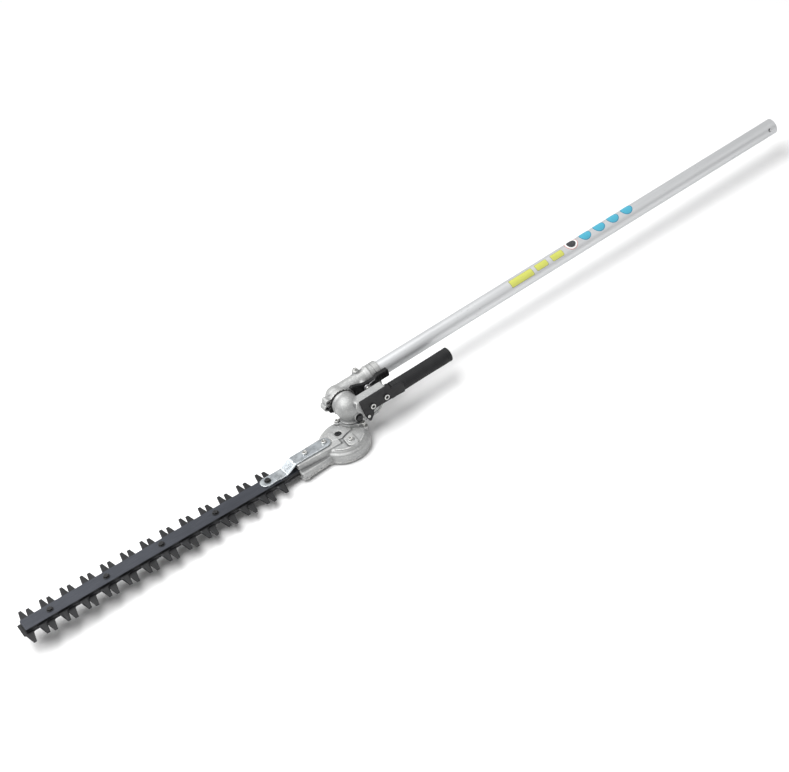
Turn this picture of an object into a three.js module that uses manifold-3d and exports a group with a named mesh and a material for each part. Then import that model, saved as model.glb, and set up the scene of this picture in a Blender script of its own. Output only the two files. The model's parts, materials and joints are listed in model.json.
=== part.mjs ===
// Long-reach hedge trimmer attachment: a drive pole with an articulated, double-sided cutter head.
// Millimetres, +Z up. The origin is the centre of the pole's free end, where the power unit's coupling
// takes hold. The pole runs along X and the head is at its -X end.
import * as THREE from 'three';
import { mergeVertices } from 'three/addons/utils/BufferGeometryUtils.js';
import Module from 'manifold-3d';

const wasm = await Module();
wasm.setup();

// ---------------------------------------------------------------- driving dimensions
const GAP = 0.3;                        // clearance between neighbouring pieces

const POLE_REACH = 940;                 // head pivot axis to the pole's free end
const POLE_RADIUS = 14;
const POLE_WALL = 1.6;
const LOCATING_HOLE_RADIUS = 3.3;
const LOCATING_HOLE_INSET = 16;

const PIVOT_Y = { caseFace: -19.5, plateBack: -19.9, plateFace: -23.4, armFace: -23.8 };
const CASE_RADIUS = 16;                 // tube of the upper gear case
const COLLAR_RADIUS = 17.2;
const CASE_LENGTH = 84;                 // pivot axis to the collar's mouth
const POLE_SEAT = 30;                   // how near the pivot axis the pole's inner end comes
const STUB_RADIUS = 13.2;               // hollow trunnion that the arm turns on
const STUB_END = -28;
const FLANGE_RADIUS = 21;
const INDEX_RADIUS = 22.5;
const INDEX_NOTCHES = 24;
const STOP_LUG = { at: [-22.4, -0.5], radius: 5.2, front: -25.8 };

const ARM_Y = -38;                      // output shaft axis, and the middle of the round arm housing
const DOME_RADIUS = 21.2;
const DOME_WALL = 3.4;

const CUTTER_TILT = THREE.MathUtils.degToRad(2.5);   // blade tip raised above the pole's line
const BLADE_Y = -55;                    // middle line of the blades
const CRANK_X = -29;
const CASE_TOP = -31;                   // cutter case levels, in the tilted cutter frame
const CASE_SPLIT = -50.6;
const CASE_BOTTOM = -54;
const FLANGE_TOP = -41;
const RIDGE_TOP = -28.5;
const CUTTER_CASE_RADIUS = 42;
const CHAMBER_RADIUS = 38;
const NOSE_END = -121;
const NOSE_HALF = { root: 19.2, end: 24.5 };   // half-widths of the flat nose and of the ridge on top of it
const RIDGE_HALF = { root: 18, end: 14 };

const TOOTH_PITCH = 35;
const TEETH_PER_SIDE = 13;
const BLADE_WIDTH = 72;                 // tip to tip
const SPINE_WIDTH = 27;
const BLADE_THICKNESS = 2.7;
const BLADE_PLANE = -46.1;              // the faces that shear past each other meet here
const FIRST_TOOTH = -589.1;             // outermost +Y tooth when both blades are centred
const REST_SHIFT = 5.95;                // each blade's offset from centred, in the rest position
const HALF_STROKE = 8.75;
const THROW = 7.7;                      // eccentric throw
const BAR_WIDTH = 26;
const BAR_THICKNESS = 3.8;
const BAR_TIP = -604;
const BAR_BOLT_FIRST = -171;
const BAR_BOLT_PITCH = 96.6;
const BAR_BOLTS = 5;
const BOLT_RADIUS = 2.8;

const SPUR_TEETH = { pinion: 9, crank: 35 };
const MITRE = { teeth: 12, upper: 10.5, lower: 9, faceShare: 0.42 };
const SHAFT_RADIUS = 4;

const LOBES = [{ reach: 24.5, degrees: 153 }, { reach: 27.2, degrees: 175 }];
const LOBE_RADIUS = 5.6;
const STUD = [48, 6];                   // X and Y of the bolt that locates the pole
const STUD_SEAT = 19.5;
const CLAMP_BOLT = [CASE_LENGTH - 11.5, -21];
const LEVER_PIN_RADIUS = 2.2;
const LEVER_PIN_END = -14.8;
const BOLT_BOSS = [4.7, -13.2];          // X and Z of the bolt boss on the arm housing
const BOLT_BOSS_RADIUS = 7.5;
const BOLT_BOSS_FACE = -59.2;
const GREASE_PLUG = [-33.5, -50];       // beside the crank's journal
const NECK_SCREWS = [[8, -63], [-20, -28]];
const NECK_SCREW_RADIUS = 2;
const BRACKET_SCREWS = [[57.7, -2], [30.6, -3.4]];
const BRACKET_SCREW_RADIUS = 2;
const BRACKET_PIN = [19.2, -17.8];
const TONGUE_FACE = -60;                // Y of the arm's side plate, and of the handle bracket on it
const BRACKET_FACE = -64.5;
const LEVER_PIVOT = [46, 3];             // X and Z
const LEVER_Y = { back: -18, front: -25 };
const BAR_ROOT = -72;
const BAR_TOP = BLADE_PLANE + BLADE_THICKNESS + 0.4 + BAR_THICKNESS;
const STRIP_SCREWS = [-62.5, -98.5];
const STRIP_SCREW_RADIUS = 2.6;
const STRIP_WIDTH = 21;
const STRIP_THICKNESS = 3;
const COVER_SCREW = [-27, -80];
const COVER_BOLTS = [[-66.5, BLADE_Y - 17.8], [-66.5, BLADE_Y + 17.8], [-112, BLADE_Y - 19.3],
  [-112, BLADE_Y + 19.3]];
const COVER_BOLT_RADIUS = 1.9;
const ECCENTRIC_RADIUS = 10;
const YOKE_HALF = 23.5;
const YOKE_END = 16.5;
const YOKE_ROOT = 22.5;
const GEAR_LOW = -41.9;
const GEAR_HIGH = -35.5;
// Blade travel per radian of crank, in throws: the closest straight line to a sine over one half turn.
const STROKE_PER_RADIAN = 0.7246;

const GRIP_CORE_RADIUS = 8;
const GRIP = { y: -50, z: -7.5, radius: 12.4, from: 72, to: 190 };

// ---------------------------------------------------------------- colours
const finish = {
  pole: { color: 0xdadcdc, roughness: 0.35, metalness: 0.85 },
  casting: { color: 0xc2c3bf, roughness: 0.5, metalness: 0.7 },
  zinc: { color: 0xb9c3c9, roughness: 0.3, metalness: 0.9 },
  bar: { color: 0x5d636c, roughness: 0.4, metalness: 0.8 },
  blade: { color: 0x35373b, roughness: 0.45, metalness: 0.7 },
  steel: { color: 0xa7a9ab, roughness: 0.35, metalness: 0.9 },
  bright: { color: 0xd6d8da, roughness: 0.25, metalness: 0.95 },
  dark: { color: 0x3a3b3d, roughness: 0.5, metalness: 0.6 },
  plastic: { color: 0x232425, roughness: 0.6, metalness: 0.0 },
  rubber: { color: 0x2b2b2c, roughness: 0.8, metalness: 0.0 },
};

// ---------------------------------------------------------------- shape helpers
const part = new THREE.Group();
const head = new THREE.Group();         // origin on the head pivot axis
head.position.x = -POLE_REACH;
const cutter = new THREE.Group();       // the same origin, tilted with the blades
cutter.rotation.y = CUTTER_TILT;
head.add(cutter);
part.add(head);

function addMesh(group, name, geometry, look) {
  const mesh = new THREE.Mesh(geometry, new THREE.MeshStandardMaterial({ ...look, flatShading: true }));
  mesh.name = name;
  group.add(mesh);
}

function solid(geometry) {
  const bare = geometry.clone();
  bare.deleteAttribute('normal');
  bare.deleteAttribute('uv');
  const merged = mergeVertices(bare, 1e-4);
  const index = merged.index.array;
  const kept = [];
  for (let i = 0; i < index.length; i += 3) {
    const [a, b, c] = [index[i], index[i + 1], index[i + 2]];
    if (a !== b && b !== c && a !== c) {
      kept.push(a, b, c);
    }
  }
  return new wasm.Manifold(new wasm.Mesh({
    numProp: 3,
    vertProperties: new Float32Array(merged.attributes.position.array),
    triVerts: new Uint32Array(kept),
  }));
}

function toGeometry(body) {
  const mesh = body.getMesh();
  const geometry = new THREE.BufferGeometry();
  geometry.setAttribute('position', new THREE.BufferAttribute(new Float32Array(mesh.vertProperties), 3));
  geometry.setIndex(new THREE.BufferAttribute(new Uint32Array(mesh.triVerts), 1));
  geometry.computeVertexNormals();
  return geometry;
}

// Joins the first list of geometries and cuts the second list away.
function carve(joined, cut = []) {
  let body = solid(joined[0]);
  for (const geometry of joined.slice(1)) {
    body = body.add(solid(geometry));
  }
  for (const geometry of cut) {
    body = body.subtract(solid(geometry));
  }
  return toGeometry(body);
}

// A cylinder or cone along an axis, from one station to the next, round the other two coordinates.
function rod(axis, radius, from, to, centre = [0, 0], segments = 32, endRadius = radius) {
  const geometry = new THREE.CylinderGeometry(endRadius, radius, to - from, segments);
  const middle = (from + to) / 2;
  if (axis === 'x') {
    geometry.rotateZ(-Math.PI / 2).translate(middle, centre[0], centre[1]);
  } else if (axis === 'y') {
    geometry.translate(centre[0], middle, centre[1]);
  } else {
    geometry.rotateX(Math.PI / 2).translate(centre[0], centre[1], middle);
  }
  return geometry;
}

// A washer-like ring along an axis.
function ring(axis, inner, outer, from, to, centre = [0, 0], segments = 32) {
  const profile = [[inner, from], [outer, from], [outer, to], [inner, to], [inner, from]];
  const geometry = new THREE.LatheGeometry(profile.map(([r, h]) => new THREE.Vector2(r, h)), segments);
  if (axis === 'x') {
    geometry.rotateZ(-Math.PI / 2).translate(0, centre[0], centre[1]);
  } else if (axis === 'y') {
    geometry.translate(centre[0], 0, centre[1]);
  } else {
    geometry.rotateX(Math.PI / 2).translate(centre[0], centre[1], 0);
  }
  return geometry;
}

function block(low, high) {
  const size = high.map((value, i) => value - low[i]);
  const geometry = new THREE.BoxGeometry(...size);
  geometry.translate(...low.map((value, i) => value + size[i] / 2));
  return geometry;
}

function shapeOf(points) {
  return new THREE.Shape(points.map(([x, y]) => new THREE.Vector2(x, y)));
}

// A flat outline in X and Y, raised from one level to another.
function slab(shape, from, to, curveSegments = 12) {
  const geometry = new THREE.ExtrudeGeometry(shape, { depth: to - from, bevelEnabled: false, curveSegments });
  return geometry.translate(0, 0, from);
}

// A flat outline in X and Z, from one Y station to another.
function plate(shape, from, to, curveSegments = 12) {
  const geometry = new THREE.ExtrudeGeometry(shape, { depth: to - from, bevelEnabled: false, curveSegments });
  return geometry.rotateX(Math.PI / 2).translate(0, to, 0);
}

function ball(radius, centre, segments = 32) {
  const geometry = new THREE.SphereGeometry(radius, segments, segments / 2);
  return geometry.rotateX(Math.PI / 2).translate(...centre);
}

// A hole for a flat outline: round, or drawn out along X into a slot.
function holePath(x, y, radius, halfLength = 0, steps = 5) {
  const points = [];
  for (const side of [1, -1]) {
    for (let i = 0; i < steps + (halfLength > 0 ? 1 : 0); i += 1) {
      const angle = Math.PI * (i / steps - 0.5) + (side < 0 ? Math.PI : 0);
      const across = x + side * halfLength + radius * Math.cos(angle);
      points.push(new THREE.Vector2(across, y + radius * Math.sin(angle)));
    }
  }
  return new THREE.Path(points);
}

// Screw with a head at the top of its shank, both along +Z, seat at z = 0, and a drive recess.
function screw(headRadius, headHeight, shankRadius, shankLength, style) {
  const headSides = style === 'hex' ? 6 : 12;
  const parts = [rod('z', headRadius, 0, headHeight, [0, 0], headSides)];
  parts.push(rod('z', shankRadius, -shankLength, 0.2, [0, 0], 8));
  const cuts = [];
  if (style === 'socket') {
    cuts.push(rod('z', headRadius * 0.5, headHeight * 0.45, headHeight + 1, [0, 0], 6));
  } else if (style === 'slot') {
    const half = headRadius * 1.2;
    cuts.push(block([-half, -0.6, headHeight * 0.6], [half, 0.6, headHeight + 1]));
  } else {
    parts.push(rod('z', headRadius * 1.25, 0, headHeight * 0.25, [0, 0], 12));
  }
  return carve(parts, cuts);
}

// A tapering web between two round bosses, raised along Z.
function web(start, finishAt, halfStart, halfFinish, from, to) {
  const length = Math.hypot(finishAt[0] - start[0], finishAt[1] - start[1]);
  const [ux, uy] = [(finishAt[0] - start[0]) / length, (finishAt[1] - start[1]) / length];
  const corner = (base, half) => [base[0] - uy * half, base[1] + ux * half];
  const outline = [corner(start, halfStart), corner(start, -halfStart), corner(finishAt, -halfFinish),
    corner(finishAt, halfFinish)];
  return slab(shapeOf(outline), from, to);
}

function barBolts() {
  return Array.from({ length: BAR_BOLTS }, (_, i) => BAR_BOLT_FIRST - BAR_BOLT_PITCH * i);
}

function placed(geometry, position, direction) {
  const turn = new THREE.Quaternion().setFromUnitVectors(new THREE.Vector3(0, 0, 1), direction);
  return geometry.clone().applyQuaternion(turn).translate(...position);
}

const UP = new THREE.Vector3(0, 0, 1);
const DOWN = new THREE.Vector3(0, 0, -1);
const FRONT = new THREE.Vector3(0, -1, 0);
const BACK = new THREE.Vector3(0, 1, 0);

// ---------------------------------------------------------------- gears
// Involute spur outline with shortened teeth and a thinned flank for running clearance.
function spurOutline(teeth, module, thinning, turn, flankSteps) {
  const pressure = THREE.MathUtils.degToRad(25);
  const pitchRadius = teeth * module / 2;
  const baseRadius = pitchRadius * Math.cos(pressure);
  const tipRadius = pitchRadius + 0.8 * module;
  const rootRadius = pitchRadius - 1.1 * module;
  const involute = (radius) => {
    const angle = Math.acos(Math.min(1, baseRadius / radius));
    return Math.tan(angle) - angle;
  };
  const halfTooth = Math.PI / (2 * teeth) - thinning / (2 * pitchRadius);
  const foot = Math.max(baseRadius, rootRadius + 0.1);
  const flankRadii = [];
  for (let i = 0; i <= flankSteps; i += 1) {
    flankRadii.push(foot + (tipRadius - foot) * i / flankSteps);
  }
  const points = [];
  for (let tooth = 0; tooth < teeth; tooth += 1) {
    const middle = turn + 2 * Math.PI * tooth / teeth;
    const offsets = flankRadii.map((radius) => halfTooth + involute(pitchRadius) - involute(radius));
    const polar = (radius, angle) => points.push([radius * Math.cos(angle), radius * Math.sin(angle)]);
    polar(rootRadius, middle - offsets[0]);
    flankRadii.forEach((radius, i) => polar(radius, middle - offsets[i]));
    [...flankRadii].reverse().forEach((radius, i) => polar(radius, middle + offsets[flankSteps - i]));
    polar(rootRadius, middle + offsets[0]);
  }
  return points;
}

// Straight mitre gear along +Z: the wide end is at z = 0 and the teeth taper towards the apex at z = radius.
function mitreGear(pitchRadius, boreRadius, turn, toothScale) {
  const module = 2 * pitchRadius / MITRE.teeth;
  const pitch = 2 * Math.PI / MITRE.teeth;
  const points = [];
  for (let tooth = 0; tooth < MITRE.teeth; tooth += 1) {
    const middle = turn + pitch * tooth;
    const corners = [
      [pitchRadius - 1.05 * module, -0.33],
      [pitchRadius + 0.6 * module * toothScale, -0.14],
      [pitchRadius + 0.6 * module * toothScale, 0.14],
      [pitchRadius - 1.05 * module, 0.33],
    ];
    for (const [radius, share] of corners) {
      const angle = middle + share * pitch;
      points.push([radius * Math.cos(angle), radius * Math.sin(angle)]);
    }
  }
  const geometry = slab(shapeOf(points), 0, MITRE.faceShare * pitchRadius);
  const position = geometry.attributes.position;
  for (let i = 0; i < position.count; i += 1) {
    const taper = (pitchRadius - position.getZ(i)) / pitchRadius;
    position.setXYZ(i, position.getX(i) * taper, position.getY(i) * taper, position.getZ(i));
  }
  const hub = rod('z', boreRadius + 2.2, -2.5, 0.5, [0, 0], 20);
  return carve([geometry, hub], [rod('z', boreRadius, -5, pitchRadius, [0, 0], 20)]);
}

// ---------------------------------------------------------------- pole and drive shaft
function buildPole() {
  const inner = POLE_RADIUS - POLE_WALL;
  const tube = ring('x', inner, POLE_RADIUS, POLE_SEAT, POLE_REACH, [0, 0], 40);
  const hole = rod('z', LOCATING_HOLE_RADIUS, 0, POLE_RADIUS + 5, [0, 0], 16);
  hole.rotateX(THREE.MathUtils.degToRad(70)).translate(POLE_REACH - LOCATING_HOLE_INSET, 0, 0);
  addMesh(head, 'pole', carve([tube], [hole]), finish.pole);

  const shaft = [rod('x', SHAFT_RADIUS, 6.5, POLE_REACH - 6, [0, 0], 16)];
  const splines = [];
  for (let i = 0; i < 6; i += 1) {
    const [low, high] = [SHAFT_RADIUS - 0.5, SHAFT_RADIUS + 0.8];
    const tooth = block([POLE_REACH - 30, -0.9, low], [POLE_REACH - 6, 0.9, high]);
    splines.push(tooth.rotateX(i * Math.PI / 3));
  }
  addMesh(head, 'drive_shaft', carve([...shaft, ...splines]), finish.steel);
  const pinion = mitreGear(MITRE.upper, SHAFT_RADIUS + GAP, 0, 1);
  pinion.rotateY(-Math.PI / 2).translate(MITRE.upper, 0, 0);
  addMesh(head, 'drive_pinion', pinion, finish.steel);

  [300, 700].forEach((station, i) => {
    const outer = POLE_RADIUS - POLE_WALL - GAP;
    const bush = ring('x', SHAFT_RADIUS + GAP, outer, station, station + 16, [0, 0], 24);
    addMesh(head, `shaft_bush_${i + 1}`, bush, finish.rubber);
  });
}

// ---------------------------------------------------------------- upper gear case (fixed to the pole)
function buildUpperCase() {
  const y = PIVOT_Y;
  const lobes = LOBES.map(({ reach, degrees }) => {
    const angle = THREE.MathUtils.degToRad(degrees);
    return [reach * Math.cos(angle), reach * Math.sin(angle)];
  });
  const mouth = CASE_LENGTH - 20;
  const joined = [
    rod('x', CASE_RADIUS, 0, mouth, [0, 0], 28),
    rod('x', CASE_RADIUS, mouth - 4, mouth, [0, 0], 28, COLLAR_RADIUS),
    rod('x', COLLAR_RADIUS, mouth, CASE_LENGTH, [0, 0], 28),
    ball(CASE_RADIUS, [0, 0, 0], 28),
    rod('y', CASE_RADIUS, -12, 0, [0, 0], 28),
    rod('y', FLANGE_RADIUS, y.caseFace, -11, [0, 0], 32),
    rod('y', STUB_RADIUS, STUB_END, y.caseFace + 1, [0, 0], 28),
    block([mouth + 3, -9, -26], [CASE_LENGTH - 3, 9, -10]),
    rod('z', 5.5, 8, STUD_SEAT, STUD, 16),
    rod('y', 6, LEVER_Y.back + 0.4, -10, LEVER_PIVOT, 20),
  ];
  for (const [x, z] of lobes) {
    joined.push(rod('y', LOBE_RADIUS, y.caseFace, -6, [x, z], 16));
    joined.push(rod('y', LOBE_RADIUS + 1.4, y.caseFace + 1, -8, [x * 0.72, z * 0.72], 16));
  }
  const cut = [
    rod('x', POLE_RADIUS + GAP, POLE_SEAT - GAP, CASE_LENGTH + 2, [0, 0], 28),
    rod('x', 12.6, 3, POLE_SEAT + 1, [0, 0], 24),
    rod('y', 12.6, -13.4, -1, [0, 0], 24),
    rod('y', 9.3, STUB_END - 1, -3, [0, 0], 24),
    block([mouth + 2, -1, -30], [CASE_LENGTH + 2, 1, -12]),
    rod('y', BOLT_RADIUS + GAP, -30, 30, CLAMP_BOLT, 12),
    rod('z', 2.5 + GAP, 12, 30, STUD, 12),
    rod('y', LEVER_PIN_RADIUS + GAP, -30, -8, LEVER_PIVOT, 12),
  ];
  for (const [x, z] of lobes) {
    cut.push(rod('y', 2.2 + GAP, -30, 6, [x, z], 12));
  }
  addMesh(head, 'upper_gear_case', carve(joined, cut), finish.casting);

  lobes.forEach(([x, z], i) => {
    const bolt = placed(screw(3.6, 2.6, 2.2, 11, 'hex'), [x, -6 + GAP, z], BACK);
    addMesh(head, `flange_bolt_${i + 1}`, bolt, i === 0 ? finish.bright : finish.dark);
  });
  const clamp = screw(4.6, 4.2, BOLT_RADIUS, 22, 'socket');
  addMesh(head, 'clamp_bolt', placed(clamp, [CLAMP_BOLT[0], -9 - GAP, CLAMP_BOLT[1]], FRONT), finish.bright);
  const stud = screw(3.4, 3.2, 2.5, 6, 'hex');
  addMesh(head, 'pole_locating_bolt', placed(stud, [...STUD, STUD_SEAT + GAP], UP), finish.bright);
}

// ---------------------------------------------------------------- bearings and cross shaft
function buildCrossShaft() {
  const bore = SHAFT_RADIUS + GAP;
  addMesh(head, 'drive_shaft_bearing', ring('x', bore, 12.3, 15, 23, [0, 0], 24), finish.bright);
  addMesh(head, 'cross_shaft_bearing', ring('y', bore, 9, -24.5, -13.5, [0, 0], 24), finish.bright);
  const shaft = rod('y', SHAFT_RADIUS, ARM_Y + 5.6, -4.9, [0, 0], 16);
  addMesh(head, 'cross_shaft', shaft, finish.steel);
  const upper = mitreGear(MITRE.upper, SHAFT_RADIUS + GAP, Math.PI / MITRE.teeth, 1);
  upper.rotateX(-Math.PI / 2).translate(0, -MITRE.upper, 0);
  addMesh(head, 'cross_shaft_upper_gear', upper, finish.steel);
  const lower = mitreGear(MITRE.lower, SHAFT_RADIUS + GAP, 0, 0.2);
  lower.rotateX(Math.PI / 2).translate(0, ARM_Y + MITRE.lower + 0.6, 0);
  addMesh(head, 'cross_shaft_lower_gear', lower, finish.steel);
}

// ---------------------------------------------------------------- arm
function serratedDisc(radius, depth, count) {
  const points = [];
  const pitch = 2 * Math.PI / count;
  for (let i = 0; i < count; i += 1) {
    const root = radius - depth;
    for (const [r, share] of [[root, -0.3], [radius, -0.14], [radius, 0.14], [root, 0.3]]) {
      const angle = pitch * (i + 0.5 + share);
      points.push([r * Math.cos(angle), r * Math.sin(angle)]);
    }
  }
  return shapeOf(points);
}

function tilted(geometry) {
  return geometry.rotateY(CUTTER_TILT);
}

function buildArm() {
  const y = PIVOT_Y;
  const disc = serratedDisc(INDEX_RADIUS, 2.4, INDEX_NOTCHES);
  const opening = new THREE.Path();
  opening.absarc(0, 0, STUB_RADIUS + GAP, 0, Math.PI * 2, true);
  disc.holes.push(opening);
  const lug = solid(rod('y', STOP_LUG.radius, STOP_LUG.front, y.plateBack, STOP_LUG.at, 20))
    .subtract(solid(rod('y', INDEX_RADIUS - 2.2, y.plateFace - 8, y.plateFace, [0, 0], 32)));
  const index = solid(plate(disc, y.plateFace, y.plateBack, 12)).add(lug);
  addMesh(head, 'index_plate', toGeometry(index), finish.dark);

  const centre = [0, ARM_Y, 0];
  const tongue = shapeOf([[10.5, -8], [5, -3], [4.5, 5], [6.5, 14], [64, 14], [64, -4], [54, -12], [46, -21],
    [38, -27], [14, -26]]);
  const flange = [CASE_TOP + GAP, -25];
  const joined = [
    ball(DOME_RADIUS, centre, 24),
    rod('y', 20, ARM_Y, y.armFace, [0, 0], 28),
    tilted(rod('z', 15.5, flange[1] - 1, -8, [0, ARM_Y], 24)),
    tilted(rod('z', 18, ...flange, [0, ARM_Y], 28)),
    plate(tongue, TONGUE_FACE, -42),
    rod('y', BOLT_BOSS_RADIUS, BOLT_BOSS_FACE, -40, BOLT_BOSS, 20),
  ];
  const cut = [
    ball(DOME_RADIUS - DOME_WALL, centre, 16),
    rod('y', STUB_RADIUS + GAP, y.armFace - 3, y.armFace + 8, [0, 0], 28),
    rod('y', 16, ARM_Y, y.armFace - 2.4, [0, 0], 28),
    block([-25, y.armFace, -25], [25, y.armFace + 9, 25]),
    tilted(rod('z', 11.3, -40, -8, [0, ARM_Y], 24)),
    rod('y', BOLT_RADIUS + GAP, -62, -46, BOLT_BOSS, 12),
  ];
  for (const [x, yAt] of NECK_SCREWS) {
    joined.push(tilted(rod('z', 6, ...flange, [x, yAt], 16)));
    joined.push(tilted(web([0, ARM_Y], [x, yAt], 12, 5, ...flange)));
    cut.push(tilted(rod('z', NECK_SCREW_RADIUS + GAP, -40, -15, [x, yAt], 12)));
    cut.push(tilted(rod('z', 5.2, flange[1], flange[1] + 8, [x, yAt], 16)));
  }
  for (const [x, z] of BRACKET_SCREWS) {
    cut.push(rod('y', BRACKET_SCREW_RADIUS + GAP, -62, -48, [x, z], 12));
  }
  addMesh(head, 'arm_housing', carve(joined, cut), finish.casting);

  const bolt = screw(5.4, 3.6, BOLT_RADIUS, 10, 'hex');
  const boltSeat = [BOLT_BOSS[0], BOLT_BOSS_FACE - GAP, BOLT_BOSS[1]];
  addMesh(head, 'housing_bolt', placed(bolt, boltSeat, FRONT), finish.dark);
  NECK_SCREWS.forEach(([x, yAt], i) => {
    const neckScrew = placed(screw(3.8, 2.6, NECK_SCREW_RADIUS, 9, 'socket'), [x, yAt, flange[1] + GAP], UP);
    addMesh(cutter, `neck_screw_${i + 1}`, neckScrew, finish.bright);
  });
  const nut = ring('y', STUB_RADIUS + GAP, 14.9, STUB_END + 0.2, y.armFace - 2.7, [0, 0], 20);
  addMesh(head, 'pivot_ring_nut', nut, finish.steel);
}

// ---------------------------------------------------------------- handle
function buildHandle() {
  const outline = shapeOf([[14.2, -14.5], [11.2, 16], [68, 16], [68, 6], [92, 5], [92, -14], [66, -11.8],
    [37, -11.2], [30.5, -12.8], [29.5, -20], [21.5, -28.8], [18.6, -28]]);
  const joined = [
    plate(outline, BRACKET_FACE, TONGUE_FACE - GAP),
    block([66, -63, -13.5], [74, -41, 2.5]),
  ];
  const cut = BRACKET_SCREWS.map(([x, z]) => rod('y', BRACKET_SCREW_RADIUS + GAP, -70, -50, [x, z], 16));
  cut.push(rod('y', 1.6 + GAP, -70, -50, BRACKET_PIN, 12));
  cut.push(rod('x', GRIP.radius + GAP, GRIP.from + 2, 100, [GRIP.y, GRIP.z], 24));
  const core = rod('x', GRIP_CORE_RADIUS, 70, GRIP.to - 6, [GRIP.y, GRIP.z], 20);
  const bracket = solid(carve(joined, cut)).add(solid(core));
  addMesh(head, 'handle_bracket', toGeometry(bracket), finish.plastic);
  const grip = carve(
    [rod('x', GRIP.radius, GRIP.from + 2 + GAP, GRIP.to, [GRIP.y, GRIP.z], 24)],
    [rod('x', GRIP_CORE_RADIUS + GAP, GRIP.from, GRIP.to - 6 + GAP, [GRIP.y, GRIP.z], 20)],
  );
  addMesh(head, 'handle_grip', grip, finish.rubber);
  BRACKET_SCREWS.forEach(([x, z], i) => {
    const bolt = placed(screw(4.4, 2.8, BRACKET_SCREW_RADIUS, 12, 'slot'), [x, BRACKET_FACE - GAP, z], FRONT);
    addMesh(head, `bracket_screw_${i + 1}`, bolt, finish.bright);
  });
  const pinSeat = [BRACKET_PIN[0], BRACKET_FACE - GAP, BRACKET_PIN[1]];
  const pin = placed(screw(2.6, 1.4, 1.6, 3.6, 'socket'), pinSeat, FRONT);
  addMesh(head, 'bracket_rivet', pin, finish.bright);
}

// ---------------------------------------------------------------- lock lever on the upper gear case
function buildLever() {
  const side = shapeOf([[23.9, -4], [24.6, 2], [23.2, 8.6], [18.8, 15.6], [22, 18.6], [31, 15.6], [41, 11],
    [54, 9], [64, 9], [68, 13], [90, 13], [90, -1], [68, -1], [56, -3], [34, -5]]);
  const pad = LEVER_Y.front - 1.5;
  const plan = shapeOf([[15, LEVER_Y.back - 4], [22, LEVER_Y.front], [58, LEVER_Y.front], [64, pad],
    [92, pad], [92, LEVER_Y.back], [15, LEVER_Y.back]]);
  const body = solid(plate(side, LEVER_Y.front - 3, LEVER_Y.back + 1)).intersect(solid(slab(plan, -10, 20)));
  const bore = rod('y', LEVER_PIN_RADIUS + GAP, -40, -10, LEVER_PIVOT, 12);
  addMesh(head, 'lock_lever', toGeometry(body.subtract(solid(bore))), finish.plastic);
  const pinHead = LEVER_Y.front - GAP;
  const pin = carve([
    rod('y', LEVER_PIN_RADIUS, pinHead - 4, LEVER_PIN_END, LEVER_PIVOT, 12),
    rod('y', 4, pinHead - 6.4, pinHead - 4, LEVER_PIVOT, 14),
  ]);
  addMesh(head, 'lever_pin', pin, finish.bright);
}

// ---------------------------------------------------------------- cutter case
function nosePlan(half) {
  return shapeOf([[-40, BLADE_Y - half.root], [-40, BLADE_Y + half.root], [NOSE_END, BLADE_Y + half.end],
    [NOSE_END, BLADE_Y - half.end]]);
}

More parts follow.
